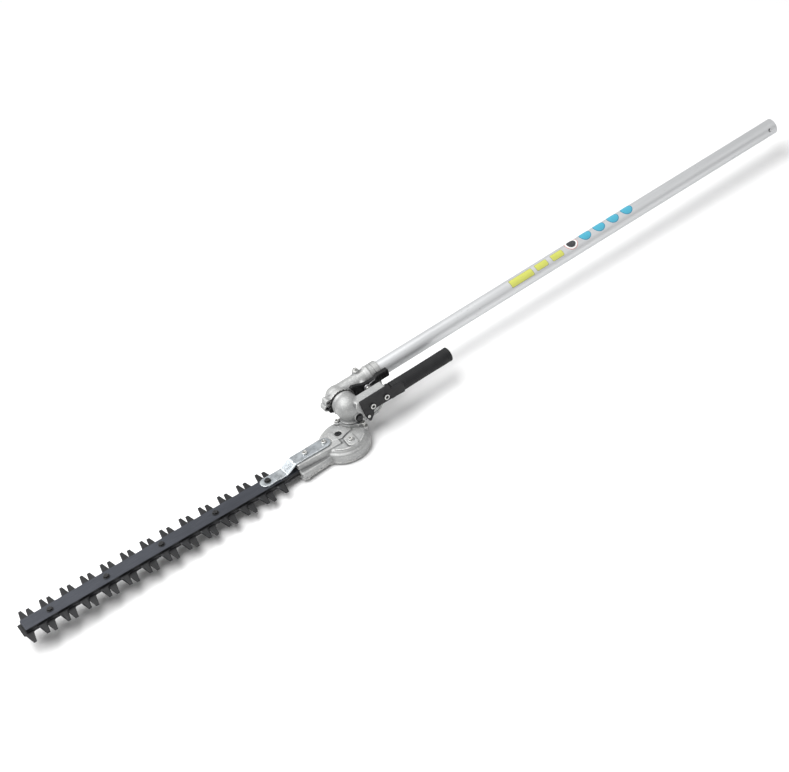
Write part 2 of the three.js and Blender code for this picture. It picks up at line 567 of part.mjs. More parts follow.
function buildCutterCase() {
  const centre = [CRANK_X, BLADE_Y - 2];
  const crank = [CRANK_X, BLADE_Y];
  const joined = [
    rod('z', CUTTER_CASE_RADIUS, CASE_SPLIT, FLANGE_TOP, centre, 40),
    rod('z', CUTTER_CASE_RADIUS, FLANGE_TOP, CASE_TOP, centre, 40, CUTTER_CASE_RADIUS - 3),
    rod('z', 27, CASE_TOP, RIDGE_TOP, [CRANK_X - 4, BLADE_Y + 4], 32, 25),
    slab(nosePlan(NOSE_HALF), CASE_SPLIT, FLANGE_TOP),
    slab(nosePlan(RIDGE_HALF), FLANGE_TOP - 1, RIDGE_TOP),
    rod('z', 18, CASE_TOP - 4, CASE_TOP, [0, ARM_Y], 40),
    rod('z', 6.2, RIDGE_TOP - 8, -25.6, COVER_SCREW, 20),
    rod('z', 6.2, FLANGE_TOP, CASE_TOP, NECK_SCREWS[0], 20),
    rod('z', 6.2, FLANGE_TOP, CASE_TOP, NECK_SCREWS[1], 20),
  ];
  const slotTop = BLADE_PLANE + BLADE_THICKNESS + 0.7;
  const blades = { half: BAR_WIDTH / 2 + 1.6, low: CASE_SPLIT - 1, high: slotTop };
  const cut = [
    rod('z', CHAMBER_RADIUS - 1, CASE_SPLIT - 1, -35, centre, 36),
    rod('z', 11.4, -60, CASE_TOP + 4, [0, ARM_Y], 24),
    block([NOSE_END - 5, BLADE_Y - blades.half, blades.low], [CRANK_X, BLADE_Y + blades.half, blades.high]),
    block([NOSE_END - 5, BLADE_Y - BAR_WIDTH / 2 - GAP, blades.low],
      [BAR_ROOT + GAP, BLADE_Y + BAR_WIDTH / 2 + GAP, BAR_TOP + GAP]),
    rod('z', 5 + GAP, -40, -33.6, crank, 20),
    rod('z', 4.4 + GAP, -36, -20, GREASE_PLUG, 20),
    rod('z', 6, -31, -20, GREASE_PLUG, 20),
    rod('z', 2.4 + GAP, -45, -20, COVER_SCREW, 16),
  ];
  cut.push(rod('z', 18.4, CASE_TOP, -20, [0, ARM_Y], 28));
  for (const [x, yAt] of NECK_SCREWS) {
    cut.push(rod('z', NECK_SCREW_RADIUS + GAP, -36, -20, [x, yAt], 12));
    cut.push(rod('z', 6.4, CASE_TOP, -20, [x, yAt], 16));
    cut.push(web([0, ARM_Y], [x, yAt], 12.4, 5.4, CASE_TOP, -20));
  }
  for (const x of STRIP_SCREWS) {
    cut.push(rod('z', STRIP_SCREW_RADIUS + GAP, -60, -20, [x, BLADE_Y], 16));
  }
  for (const [x, yAt] of COVER_BOLTS) {
    cut.push(rod('z', COVER_BOLT_RADIUS + GAP, -60, -44, [x, yAt], 12));
  }
  addMesh(cutter, 'cutter_case', carve(joined, cut), finish.casting);

  const cover = [
    rod('z', CUTTER_CASE_RADIUS, CASE_BOTTOM, CASE_SPLIT - GAP, centre, 40),
    slab(nosePlan(NOSE_HALF), CASE_BOTTOM, CASE_SPLIT - GAP),
  ];
  const coverCut = [rod('z', 5 + GAP, CASE_BOTTOM + 1.2, -40, crank, 24)];
  for (const x of STRIP_SCREWS) {
    coverCut.push(rod('z', STRIP_SCREW_RADIUS + GAP, -60, -20, [x, BLADE_Y], 16));
  }
  for (const [x, yAt] of COVER_BOLTS) {
    coverCut.push(rod('z', COVER_BOLT_RADIUS + GAP, -60, -44, [x, yAt], 12));
  }
  addMesh(cutter, 'case_cover', carve(cover, coverCut), finish.casting);
  COVER_BOLTS.forEach(([x, yAt], i) => {
    const bolt = placed(screw(3.6, 2.2, COVER_BOLT_RADIUS, 8, 'socket'), [x, yAt, CASE_BOTTOM - GAP], DOWN);
    addMesh(cutter, `cover_bolt_${i + 1}`, bolt, finish.bright);
  });
  const plugHead = rod('z', 5.6, -30.6, -28.6, GREASE_PLUG, 20);
  const plugShank = rod('z', 4.4, -33.2, -30, GREASE_PLUG, 20);
  const plug = carve([plugHead, plugShank], [rod('z', 2.4, -29.8, -27, GREASE_PLUG, 6)]);
  addMesh(cutter, 'grease_plug', plug, finish.plastic);
  const lid = screw(4, 2.8, 2.4, 9, 'socket');
  addMesh(cutter, 'case_screw', placed(lid, [...COVER_SCREW, -25.6 + GAP], UP), finish.bright);
}

// ---------------------------------------------------------------- guide bar and its strip
function buildBar() {
  const bar = shapeOf([[BAR_ROOT, BLADE_Y - BAR_WIDTH / 2], [BAR_ROOT, BLADE_Y + BAR_WIDTH / 2],
    [BAR_TIP, BLADE_Y + BAR_WIDTH / 2], [BAR_TIP, BLADE_Y - BAR_WIDTH / 2]]);
  for (const x of [...barBolts(), STRIP_SCREWS[1]]) {
    bar.holes.push(holePath(x, BLADE_Y, BOLT_RADIUS + GAP));
  }
  addMesh(cutter, 'guide_bar', slab(bar, BAR_TOP - BAR_THICKNESS, BAR_TOP, 8), finish.bar);

  const high = RIDGE_TOP + GAP;
  const low = BAR_TOP + GAP;
  const path = [[-52, high], [-52, high + STRIP_THICKNESS], [-123, high + STRIP_THICKNESS],
    [-141, low + STRIP_THICKNESS], [-184, low + STRIP_THICKNESS], [-184, low], [-140, low], [-122, high]];
  const side = plate(shapeOf(path), BLADE_Y - STRIP_WIDTH / 2, BLADE_Y + STRIP_WIDTH / 2);
  const plan = new THREE.Shape();
  plan.absarc(-184 + STRIP_WIDTH / 2, BLADE_Y, STRIP_WIDTH / 2, Math.PI / 2, Math.PI * 1.5, false);
  plan.absarc(-52 - STRIP_WIDTH / 2, BLADE_Y, STRIP_WIDTH / 2, -Math.PI / 2, Math.PI / 2, false);
  plan.closePath();
  const trimmed = solid(side).intersect(solid(slab(plan, -50, -20, 16)));
  let strip = trimmed;
  for (const x of [...STRIP_SCREWS, BAR_BOLT_FIRST]) {
    strip = strip.subtract(solid(rod('z', BOLT_RADIUS + GAP, -50, -20, [x, BLADE_Y], 16)));
  }
  addMesh(cutter, 'mounting_strip', toGeometry(strip), finish.zinc);
  STRIP_SCREWS.forEach((x, i) => {
    const bolt = screw(4.3, 2.8, STRIP_SCREW_RADIUS, 27.5, 'socket');
    addMesh(cutter, `strip_screw_${i + 1}`, placed(bolt, [x, BLADE_Y, high + STRIP_THICKNESS + GAP], UP),
      finish.bright);
  });

  const stack = BAR_TOP - (BLADE_PLANE - BLADE_THICKNESS) + 0.8;
  barBolts().forEach((x, i) => {
    const seat = i === 0 ? low + STRIP_THICKNESS + GAP : BAR_TOP + GAP;
    const bolt = screw(4.4, 3.4, BOLT_RADIUS, seat - BAR_TOP + stack + 4, 'hex');
    addMesh(cutter, `bar_bolt_${i + 1}`, placed(bolt, [x, BLADE_Y, seat], UP), finish.dark);
    const nutTop = BLADE_PLANE - BLADE_THICKNESS - 0.6;
    const nut = carve([rod('z', 5.2, nutTop - 3.4, nutTop, [x, BLADE_Y], 6)],
      [rod('z', BOLT_RADIUS + GAP, nutTop - 6, nutTop + 2, [x, BLADE_Y], 16)]);
    addMesh(cutter, `bar_nut_${i + 1}`, nut, finish.dark);
  });
}

// ---------------------------------------------------------------- blades
// One blade, drawn centred; side is +1 for the upper blade and -1 for the lower, which is turned over.
function bladeOutline(side) {
  const half = SPINE_WIDTH / 2;
  const reach = BLADE_WIDTH / 2;
  const points = [];
  const tooth = (x, sign, forward) => {
    const knee = half + 2.6;
    const corners = [[-9.2, half], [-6.6, knee], [-2.6, reach], [2.6, reach], [6.6, knee], [9.2, half]];
    const order = forward ? corners : [...corners].reverse();
    order.forEach(([dx, dy]) => points.push([x + dx, BLADE_Y + sign * dy]));
  };
  const minusFirst = FIRST_TOOTH + side * TOOTH_PITCH / 2;
  const tail = -128;
  const tailHalf = 12;
  for (let i = 0; i < TEETH_PER_SIDE; i += 1) {
    tooth(FIRST_TOOTH + TOOTH_PITCH * i, 1, true);
  }
  points.push([-150, BLADE_Y + half], [tail, BLADE_Y + tailHalf], [CRANK_X - YOKE_ROOT, BLADE_Y + tailHalf]);
  points.push([CRANK_X - YOKE_END, BLADE_Y + YOKE_HALF], [CRANK_X + YOKE_END, BLADE_Y + YOKE_HALF]);
  points.push([CRANK_X + YOKE_END, BLADE_Y - YOKE_HALF], [CRANK_X - YOKE_END, BLADE_Y - YOKE_HALF]);
  points.push([CRANK_X - YOKE_ROOT, BLADE_Y - tailHalf], [tail, BLADE_Y - tailHalf], [-140, BLADE_Y - half]);
  for (let i = TEETH_PER_SIDE - 1; i >= 0; i -= 1) {
    tooth(minusFirst + TOOTH_PITCH * i, -1, false);
  }
  const end = Math.min(minusFirst, FIRST_TOOTH) - 9.2;
  if (side < 0) {
    points.push([end, BLADE_Y + half]);
  } else {
    points.push([end, BLADE_Y - half]);
  }
  return points;
}

function buildBlade(name, side, low, look) {
  const shape = shapeOf(bladeOutline(side));
  for (const x of [...barBolts(), ...STRIP_SCREWS]) {
    const travel = HALF_STROKE + 0.6;
    shape.holes.push(holePath(x, BLADE_Y, BOLT_RADIUS + 0.5, travel, 4));
  }
  const slotX = ECCENTRIC_RADIUS + 1.35;
  const slotY = ECCENTRIC_RADIUS + THROW + 1;
  const yoke = [[-slotX, -slotY], [slotX, -slotY], [slotX, slotY], [-slotX, slotY]];
  shape.holes.push(new THREE.Path(yoke.map(([x, y]) => new THREE.Vector2(CRANK_X + x, BLADE_Y + y))));
  const blade = slab(shape, low, low + BLADE_THICKNESS, 5).translate(-side * REST_SHIFT, 0, 0);
  addMesh(cutter, name, blade, look);
}

// ---------------------------------------------------------------- output gears
function buildOutput() {
  const crank = [CRANK_X, BLADE_Y];
  const distance = Math.hypot(CRANK_X, BLADE_Y - ARM_Y);
  const module = 2 * distance / (SPUR_TEETH.pinion + SPUR_TEETH.crank);
  const meshAngle = Math.atan2(BLADE_Y - ARM_Y, CRANK_X);
  const pinionOutline = spurOutline(SPUR_TEETH.pinion, module, 0.35, meshAngle, 3);
  const pinion = slab(shapeOf(pinionOutline), GEAR_LOW, GEAR_HIGH).translate(0, ARM_Y, 0);
  const shaft = [rod('z', SHAFT_RADIUS, GEAR_LOW - 0.6, -6.4, [0, ARM_Y], 16), pinion];
  addMesh(cutter, 'output_shaft', carve(shaft), finish.steel);
  const mitre = mitreGear(MITRE.lower, SHAFT_RADIUS + GAP, Math.PI / MITRE.teeth, 0.2);
  addMesh(cutter, 'output_bevel_gear', mitre.translate(0, ARM_Y, -MITRE.lower - 0.6), finish.steel);
  [['upper', -22], ['lower', -31]].forEach(([place, from]) => {
    const bearing = ring('z', SHAFT_RADIUS + GAP, 11, from, from + 7, [0, ARM_Y], 24);
    addMesh(cutter, `output_bearing_${place}`, bearing, finish.bright);
  });

  const gearTurn = meshAngle + Math.PI + Math.PI / SPUR_TEETH.crank;
  const gear = slab(shapeOf(spurOutline(SPUR_TEETH.crank, module, 0.35, gearTurn, 1)), GEAR_LOW, GEAR_HIGH);
  const phase = REST_SHIFT / (THROW * STROKE_PER_RADIAN);
  const offset = [-THROW * Math.sin(phase), -THROW * Math.cos(phase)];
  const upperAt = [CRANK_X + offset[0], BLADE_Y + offset[1]];
  const lowerAt = [CRANK_X - offset[0], BLADE_Y - offset[1]];
  const lowFace = BLADE_PLANE - BLADE_THICKNESS - 0.1;
  const joined = [
    gear.translate(CRANK_X, BLADE_Y, 0),
    rod('z', ECCENTRIC_RADIUS, BLADE_PLANE + 0.05, GEAR_LOW + 0.5, upperAt, 28),
    rod('z', ECCENTRIC_RADIUS, lowFace, BLADE_PLANE - 0.05, lowerAt, 28),
    rod('z', 2.2, lowFace - 1, BLADE_PLANE + 1, crank, 12),
    rod('z', 5, -52.4, lowFace - 0.15, crank, 16),
    rod('z', 5, GEAR_HIGH - 1, -34, crank, 16),
  ];
  addMesh(cutter, 'crank_gear', carve(joined), finish.steel);
}

buildPole();
buildUpperCase();
buildCrossShaft();
buildArm();
buildHandle();
buildLever();
buildCutterCase();
buildBar();
buildBlade('upper_blade', 1, BLADE_PLANE + 0.1, finish.blade);
buildBlade('lower_blade', -1, BLADE_PLANE - BLADE_THICKNESS - 0.1, finish.blade);
buildOutput();

export default part;
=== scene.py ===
"""Looks of a long-reach hedge trimmer attachment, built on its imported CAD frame.

The castings, fasteners and mouldings are made as smooth distance fields and turned into meshes here,
in millimetres, from the head's pivot axis. The blades, bar and labels are built from their outlines.
"""
import json
import math

import bmesh
import bpy
import numpy as np
from mathutils import Matrix, Vector
from mathutils.geometry import tessellate_polygon


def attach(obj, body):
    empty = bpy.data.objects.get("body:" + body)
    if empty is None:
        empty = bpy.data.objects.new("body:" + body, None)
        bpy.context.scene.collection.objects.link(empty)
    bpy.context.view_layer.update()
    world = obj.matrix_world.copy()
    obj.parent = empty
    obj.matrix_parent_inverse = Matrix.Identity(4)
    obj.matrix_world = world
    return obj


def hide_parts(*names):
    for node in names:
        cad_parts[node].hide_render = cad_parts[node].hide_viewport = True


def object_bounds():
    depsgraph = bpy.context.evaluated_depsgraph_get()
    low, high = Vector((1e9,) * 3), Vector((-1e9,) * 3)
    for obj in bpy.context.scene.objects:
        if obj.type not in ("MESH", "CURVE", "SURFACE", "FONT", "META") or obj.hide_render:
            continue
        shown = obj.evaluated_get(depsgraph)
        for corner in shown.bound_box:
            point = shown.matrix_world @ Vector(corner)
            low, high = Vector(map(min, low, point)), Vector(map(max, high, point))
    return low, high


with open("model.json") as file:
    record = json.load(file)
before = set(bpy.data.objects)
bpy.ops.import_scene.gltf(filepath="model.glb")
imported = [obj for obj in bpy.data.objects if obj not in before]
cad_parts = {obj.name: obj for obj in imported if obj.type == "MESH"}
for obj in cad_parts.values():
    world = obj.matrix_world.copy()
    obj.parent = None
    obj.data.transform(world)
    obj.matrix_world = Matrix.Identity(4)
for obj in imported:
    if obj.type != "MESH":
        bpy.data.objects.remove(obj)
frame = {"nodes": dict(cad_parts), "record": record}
cad_low, cad_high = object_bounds()

# ---------------------------------------------------------------- driving dimensions, millimetres
MM = 0.001
SHARP_ANGLE = math.radians(32)           # corners sharper than this stay hard
COARSE = 1.0      # mesh steps grow by this while trying things
GAP = 0.3
POLE_REACH = 940.0
POLE_RADIUS = 14.0
POLE_WALL = 1.6
POLE_SEAT = 30.0
LOCATING_HOLE = {"radius": 3.3, "inset": 16.0, "turn": 70.0}

CASE_FACE = -19.5
PLATE = (-23.4, -19.9)
ARM_FACE = -23.8
CASE_RADIUS = 16.0
COLLAR_RADIUS = 17.2
CASE_LENGTH = 84.0
STUB_RADIUS = 13.2
STUB_END = -28.0
FLANGE_RADIUS = 21.0
INDEX_RADIUS = 22.5
INDEX_NOTCHES = 24
STOP_LUG = {"at": (-22.4, -0.5), "radius": 5.2, "front": -25.8}
ARM_Y = -38.0
DOME_RADIUS = 21.2
DOME_WALL = 3.4

CUTTER_TILT = math.radians(2.5)
BLADE_Y = -55.0
CRANK_X = -29.0
CASE_TOP = -31.0
CASE_SPLIT = -50.6
CASE_BOTTOM = -54.0
FLANGE_TOP = -41.0                       # of the cutter case's nose, low beside its ridge
FLANGE_HIGH = -25.0                      # of the arm's neck flange
RIDGE_TOP = -28.5
CUTTER_CASE_RADIUS = 42.0
CHAMBER_RADIUS = 38.0
CRANK = (CRANK_X, BLADE_Y)
CASE_CENTRE = (CRANK_X, BLADE_Y - 2)
NOSE_END = -121.0
NOSE_HALF = (19.2, 24.5)                 # half-widths of the flat nose at its root and end
RIDGE_HALF = (18.0, 14.0)

TOOTH_PITCH = 35.0
TEETH_PER_SIDE = 13
BLADE_WIDTH = 72.0
SPINE_WIDTH = 27.0
BLADE_THICKNESS = 2.7
BLADE_PLANE = -46.1
FIRST_TOOTH = -589.1
REST_SHIFT = 5.95
HALF_STROKE = 8.75
THROW = 7.7
ECCENTRIC_RADIUS = 10.0
YOKE_HALF = 23.5
YOKE_END = 16.5
YOKE_ROOT = 22.5
BAR_WIDTH = 26.0
BAR_THICKNESS = 3.8
BAR_ROOT = -72.0
BAR_TIP = -604.0
BAR_TOP = BLADE_PLANE + BLADE_THICKNESS + 0.4 + BAR_THICKNESS
BAR_BOLTS = [-171.0 - 96.6 * i for i in range(5)]
BOLT_RADIUS = 2.8

LOBES = [(reach * math.cos(math.radians(turn)), reach * math.sin(math.radians(turn)))
         for reach, turn in ((24.5, 153), (27.2, 175))]
LOBE_BACK = 6.0                          # how far in front of the pole's axis the lobes' back faces are
CLAMP_HALF = 9.0
STUD = (48.0, 6.0)
STUD_SEAT = 19.5
CLAMP_BOLT = (CASE_LENGTH - 11.5, -21.0)
BOLT_BOSS = (4.7, -13.2)
BOLT_BOSS_RADIUS = 7.5
BOLT_BOSS_FACE = -59.2
GREASE_PLUG = (-33.5, -50.0)
NECK_SCREWS = [(8.0, -63.0), (-20.0, -28.0)]
BRACKET_SCREWS = [(57.7, -2.0), (30.6, -3.4)]
BRACKET_PIN = (19.2, -17.8)
TONGUE_FACE = -60.0
BRACKET_FACE = -64.5
LEVER_PIVOT = (46.0, 3.0)
LEVER_BACK = -18.0
LEVER_FRONT = -25.0
LEVER_PIN_RADIUS = 2.2
STRIP_SCREWS = [-62.5, -98.5]
STRIP_WIDTH = 21.0
STRIP_THICKNESS = 3.0
STRIP_END = -184.0
COVER_SCREW = (-27.0, -80.0)
COVER_SCREW_SEAT = -25.6
COVER_BOLTS = [(-66.5, BLADE_Y - 17.8), (-66.5, BLADE_Y + 17.8), (-112.0, BLADE_Y - 19.3),
               (-112.0, BLADE_Y + 19.3)]
FILM_LIFT = 0.07                         # how far each layer of a label stands off the one below
FILM_LOOPS = 6
GRIP = {"y": -50.0, "z": -7.5, "radius": 12.4, "core": 8.0, "from": 74.0, "to": 190.0}

# ---------------------------------------------------------------- camera, from the head's pivot, millimetres
CAMERA_PLACE = (-1679.51, -2021.51, 1758.77)
CAMERA_RIGHT = (0.8101, -0.5406, -0.2268)
CAMERA_UP = (0.5056, 0.4485, 0.7370)
CAMERA_LENS = 78.94


def add_camera():
    """The main view, from the camera's place and the directions to its right and up."""
    data = bpy.data.cameras.new("camera")
    camera = bpy.data.objects.new("camera", data)
    bpy.context.scene.collection.objects.link(camera)
    right = Vector(CAMERA_RIGHT).normalized()
    up = Vector(CAMERA_UP)
    up = (up - right * up.dot(right)).normalized()
    back = right.cross(up)
    turn = Matrix((right, up, back)).transposed()
    camera.matrix_world = Matrix.Translation(Vector(CAMERA_PLACE) * MM) @ turn.to_4x4()
    data.sensor_width = 36.0
    data.lens = CAMERA_LENS
    data.clip_start = 0.05
    data.clip_end = 50.0
    bpy.context.scene.camera = camera


# ---------------------------------------------------------------- distance fields
def both(a, b, rounding):
    """Where two fields overlap, with the convex edge rounded."""
    u = a + rounding
    v = b + rounding
    return np.minimum(np.maximum(u, v), 0) + np.hypot(np.maximum(u, 0), np.maximum(v, 0)) - rounding


def join(a, b, fillet):
    """Two fields as one, with the concave corner filled."""
    if fillet <= 0:
        return np.minimum(a, b)
    share = np.clip(0.5 + 0.5 * (b - a) / fillet, 0, 1)
    return b * (1 - share) + a * share - fillet * share * (1 - share)


def merged(fields, fillet):
    """Several (x, y, z) fields joined, each with the same fillet."""
    def distance(p):
        total = fields[0](p)
        for field in fields[1:]:
            total = join(total, field(p), fillet)
        return total
    return distance


def overlap(a, b, rounding):
    """Where two fields overlap, as a field."""
    return lambda p: both(a(p), b(p), rounding)


def carved(base, cuts, rounding=0.5):
    """A field with others cut away from it."""
    def distance(p):
        total = base(p)
        for field in cuts:
            total = both(total, -field(p), rounding)
        return total
    return distance


def tube(axis, radius, start, end, centre=(0, 0), rounding=0.8, end_radius=None):
    """A cylinder or cone along axis 0, 1 or 2, round the other two coordinates."""
    first, second = [i for i in range(3) if i != axis]
    slope = 0.0 if end_radius is None else (end_radius - radius) / (end - start)

    def distance(p):
        along = p[axis]
        out = np.hypot(p[first] - centre[0], p[second] - centre[1])
        side = (out - radius - slope * (along - start)) / math.hypot(1, slope)
        ends = np.abs(along - (start + end) / 2) - (end - start) / 2
        return both(side, ends, rounding)
    return distance


def ball(radius, centre):
    def distance(p):
        return np.sqrt(sum((p[i] - centre[i]) ** 2 for i in range(3))) - radius
    return distance


def block(low, high, rounding=0.8):
    """A box between two corners, with rounded edges."""
    middle = [(a + b) / 2 for a, b in zip(low, high)]
    half = [(b - a) / 2 - rounding for a, b in zip(low, high)]

    def distance(p):
        q = [np.abs(p[i] - middle[i]) - half[i] for i in range(3)]
        outside = np.sqrt(sum(np.maximum(side, 0) ** 2 for side in q))
        return outside + np.minimum(np.maximum(np.maximum(q[0], q[1]), q[2]), 0) - rounding
    return distance


def rounded(points, radius, steps=4):
    """An outline with each corner replaced by an arc."""
    count = len(points)
    result = []
    for i in range(count):
        before, here, after = (np.array(points[(i + k) % count], float) for k in (-1, 0, 1))
        to_before = before - here
        to_after = after - here
        a = np.linalg.norm(to_before)
        b = np.linalg.norm(to_after)
        to_before /= a
        to_after /= b
        cosine = float(np.clip(np.dot(to_before, to_after), -1, 1))
        half = math.acos(cosine) / 2
        if half > math.radians(88):
            result.append(tuple(here))
            continue
        size = radius[i] if isinstance(radius, (list, tuple)) else radius
        reach = min(size / math.tan(half), 0.48 * a, 0.48 * b)
        size = reach * math.tan(half)
        centre = here + (to_before + to_after) / np.linalg.norm(to_before + to_after) * size / math.sin(half)
        start = here + to_before * reach - centre
        end = here + to_after * reach - centre
        for k in range(steps + 1):
            share = k / steps
            turn = math.pi - 2 * half
            weight = (math.sin((1 - share) * turn), math.sin(share * turn))
            result.append(tuple(centre + (start * weight[0] + end * weight[1]) / math.sin(turn)))
    return result


def rectangle(start, end, half):
    """A rectangle from one X to another, on both sides of the blades' middle line."""
    return [(end, BLADE_Y - half), (end, BLADE_Y + half), (start, BLADE_Y + half), (start, BLADE_Y - half)]


def outline(points):
    """Signed distance to a flat closed outline."""
    corners = [(float(x), float(y)) for x, y in points]

    def distance(u, v):
        nearest = np.full(np.shape(u), 1e12)
        inside = np.zeros(np.shape(u), bool)
        for (ax, ay), (bx, by) in zip(corners, corners[1:] + corners[:1]):
            ex, ey = bx - ax, by - ay
            length = ex * ex + ey * ey
            if length < 1e-12:
                continue
            wx = u - ax
            wy = v - ay
            along = np.clip((wx * ex + wy * ey) / length, 0, 1)
            nearest = np.minimum(nearest, (wx - ex * along) ** 2 + (wy - ey * along) ** 2)
            if ay != by:
                inside ^= ((ay > v) != (by > v)) & (wx < ex * wy / ey)
        return np.where(inside, -1, 1) * np.sqrt(nearest)
    return distance


def slab(axis, points, start, end, rounding=0.6):
    """A flat outline in the other two coordinates, raised along an axis."""
    first, second = [i for i in range(3) if i != axis]
    shape = outline(points)

    def distance(p):
        ends = np.abs(p[axis] - (start + end) / 2) - (end - start) / 2
        return both(shape(p[first], p[second]), ends, rounding)
    return distance


def web(start, finish, half_start, half_finish, low, high, rounding=0.8):
    """A tapering web between two upright bosses, raised along Z."""
    run = np.subtract(finish, start)
    run = run / np.linalg.norm(run)
    aside = np.array([-run[1], run[0]])
    corners = [start + aside * half_start, start - aside * half_start,
               finish - aside * half_finish, finish + aside * half_finish]
    return slab(2, corners, low, high, rounding)


def in_cutter(field):
    """A field drawn in the cutter's tilted frame, read from the head's frame."""
    c, s = math.cos(CUTTER_TILT), math.sin(CUTTER_TILT)
    return lambda p: field([p[0] * c - p[2] * s, p[1], p[0] * s + p[2] * c])


# ---------------------------------------------------------------- fields to meshes
BLOCK = 6                                # cells along one side of a block in the quick first pass
EDGE_REACH = 0.9                         # how widely an edge or a hollow is felt
SHADE_PROBES = ((1.5, 0.25), (4.0, 0.4), (8.0, 0.35))      # how far out the field is probed for painted shade, and how much each probe counts
SETTLING_TURNS = 3


def sample(field, axes):
    """The field on a grid, worked out in full only in blocks near its surface."""
    counts = [len(a) for a in axes]
    step = axes[0][1] - axes[0][0]
    middles = [a[::BLOCK] + step * (BLOCK - 1) / 2 for a in axes]
    rough = field(np.meshgrid(*middles, indexing="ij"))
    near = np.abs(rough) < step * BLOCK * 1.1 + 1.5
    values = rough
    for side in range(3):
        values = np.repeat(values, BLOCK, side)
        near = np.repeat(near, BLOCK, side)
    keep = tuple(slice(0, n) for n in counts)
    values = np.ascontiguousarray(values[keep])
    i, j, k = np.nonzero(near[keep])
    values[i, j, k] = field([axes[0][i], axes[1][j], axes[2][k]])
    return values


def slope_at(field, points, reach):
    """Gradient and mean curvature of a field at the points."""
    here = field(points.T)
    gradient = np.empty_like(points)
    bend = -6.0 * here
    for side in range(3):
        offset = np.zeros(3)
        offset[side] = reach
        ahead = field((points + offset).T)
        behind = field((points - offset).T)
        gradient[:, side] = (ahead - behind) / (2 * reach)
        bend += ahead + behind
    return here, gradient, bend / (reach * reach)


def skin(field, low, high, step):
    """Surface-net mesh of a field: points, quads, normals, edge and painted shade.

    Edge is above 0 on outer corners and below 0 in hollows, where the materials paint shade. Painted shade is
    an occlusion measure, 0 in the open and 1 deep inside, used to darken colour as if shadowed.
    """
    step = step * COARSE
    axes = [np.arange(a - 2.2 * step, b + 3.2 * step, step) for a, b in zip(low, high)]
    values = sample(field, axes)
    for side in range(3):
        for end in (0, -1):
            face = [slice(None)] * 3
            face[side] = end
            values[tuple(face)] = np.maximum(values[tuple(face)], 0.3 * step)
    inside = values < 0
    counts = np.array(values.shape)
    cells = counts - 1
    strides = np.array([cells[1] * cells[2], cells[2], 1])
    sums = np.zeros((3, cells.prod()))
    hits = np.zeros(cells.prod())
    quads = []
    for side in range(3):
        ahead = [slice(None)] * 3
        behind = [slice(None)] * 3
        ahead[side] = slice(1, None)
        behind[side] = slice(None, -1)
        crossed = np.argwhere(inside[tuple(ahead)] != inside[tuple(behind)])
        a = values[tuple(crossed.T)]
        ends = crossed.copy()
        ends[:, side] += 1
        b = values[tuple(ends.T)]
        place = crossed.astype(float)
        place[:, side] += a / (a - b)
        first, second = [i for i in range(3) if i != side]
        around = []
        for du, dv in ((0, 0), (1, 0), (1, 1), (0, 1)):
            cell = crossed.copy()
            cell[:, first] -= du
            cell[:, second] -= dv
            number = cell @ strides
            around.append(number)
            for k in range(3):
                sums[k] += np.bincount(number, place[:, k], cells.prod())
            hits += np.bincount(number, None, cells.prod())
        ring = np.stack(around, 1)
        flip = (a > 0) if side != 1 else (a < 0)
        ring[flip] = ring[flip][:, ::-1]
        quads.append(ring)
    used = np.nonzero(hits)[0]
    points = (sums[:, used] / hits[used]).T * step + np.array([a[0] for a in axes])
    number = np.zeros(cells.prod(), int)
    number[used] = np.arange(len(used))
    quads = number[np.concatenate(quads)]
    points = settle(field, points, quads, step)
    _, normals, _ = slope_at(field, points, 0.12 * step)
    normals /= np.maximum(np.linalg.norm(normals, axis=1, keepdims=True), 1e-9)
    _, _, bend = slope_at(field, points, EDGE_REACH)
    # painted shade: how closed in each point is, probed along its normal; it later darkens colour like
    # ambient occlusion
    painted_shade = np.zeros(len(points))
    for reach, weight in SHADE_PROBES:
        out = field((points + normals * reach).T)
        painted_shade += weight * np.clip(1 - out / reach, 0, 1)
    return points, quads, normals, bend, painted_shade


def settle(field, points, quads, step):
    """Evens out the mesh and brings every point onto the surface."""
    for turn in range(SETTLING_TURNS):
        here, gradient, _ = slope_at(field, points, 0.15 * step)
        size = np.maximum((gradient * gradient).sum(1), 0.2)
        move = gradient * (here / size)[:, None]
        length = np.linalg.norm(move, axis=1, keepdims=True)
        points = points - move * np.minimum(1, 0.6 * step / np.maximum(length, 1e-9))
        if turn == SETTLING_TURNS - 1:
            break
        total = np.zeros_like(points)
        count = np.zeros(len(points))
        for a, b in ((0, 1), (1, 2), (2, 3), (3, 0)):
            for k in range(3):
                total[:, k] += np.bincount(quads[:, a], points[quads[:, b], k], len(points))
                total[:, k] += np.bincount(quads[:, b], points[quads[:, a], k], len(points))
            count += np.bincount(quads[:, a], None, len(points)) + np.bincount(quads[:, b], None, len(points))
        normal = gradient / np.maximum(np.linalg.norm(gradient, axis=1, keepdims=True), 1e-9)
        drift = total / count[:, None] - points
        points = points + 0.5 * (drift - normal * (drift * normal).sum(1)[:, None])
    return points


def cutter_to_head(points):
    """Points or directions from the cutter's tilted frame in the head's frame."""
    c, s = math.cos(CUTTER_TILT), math.sin(CUTTER_TILT)
    result = np.array(points, float)
    result[:, 0] = points[:, 0] * c + points[:, 2] * s
    result[:, 2] = -points[:, 0] * s + points[:, 2] * c
    return result


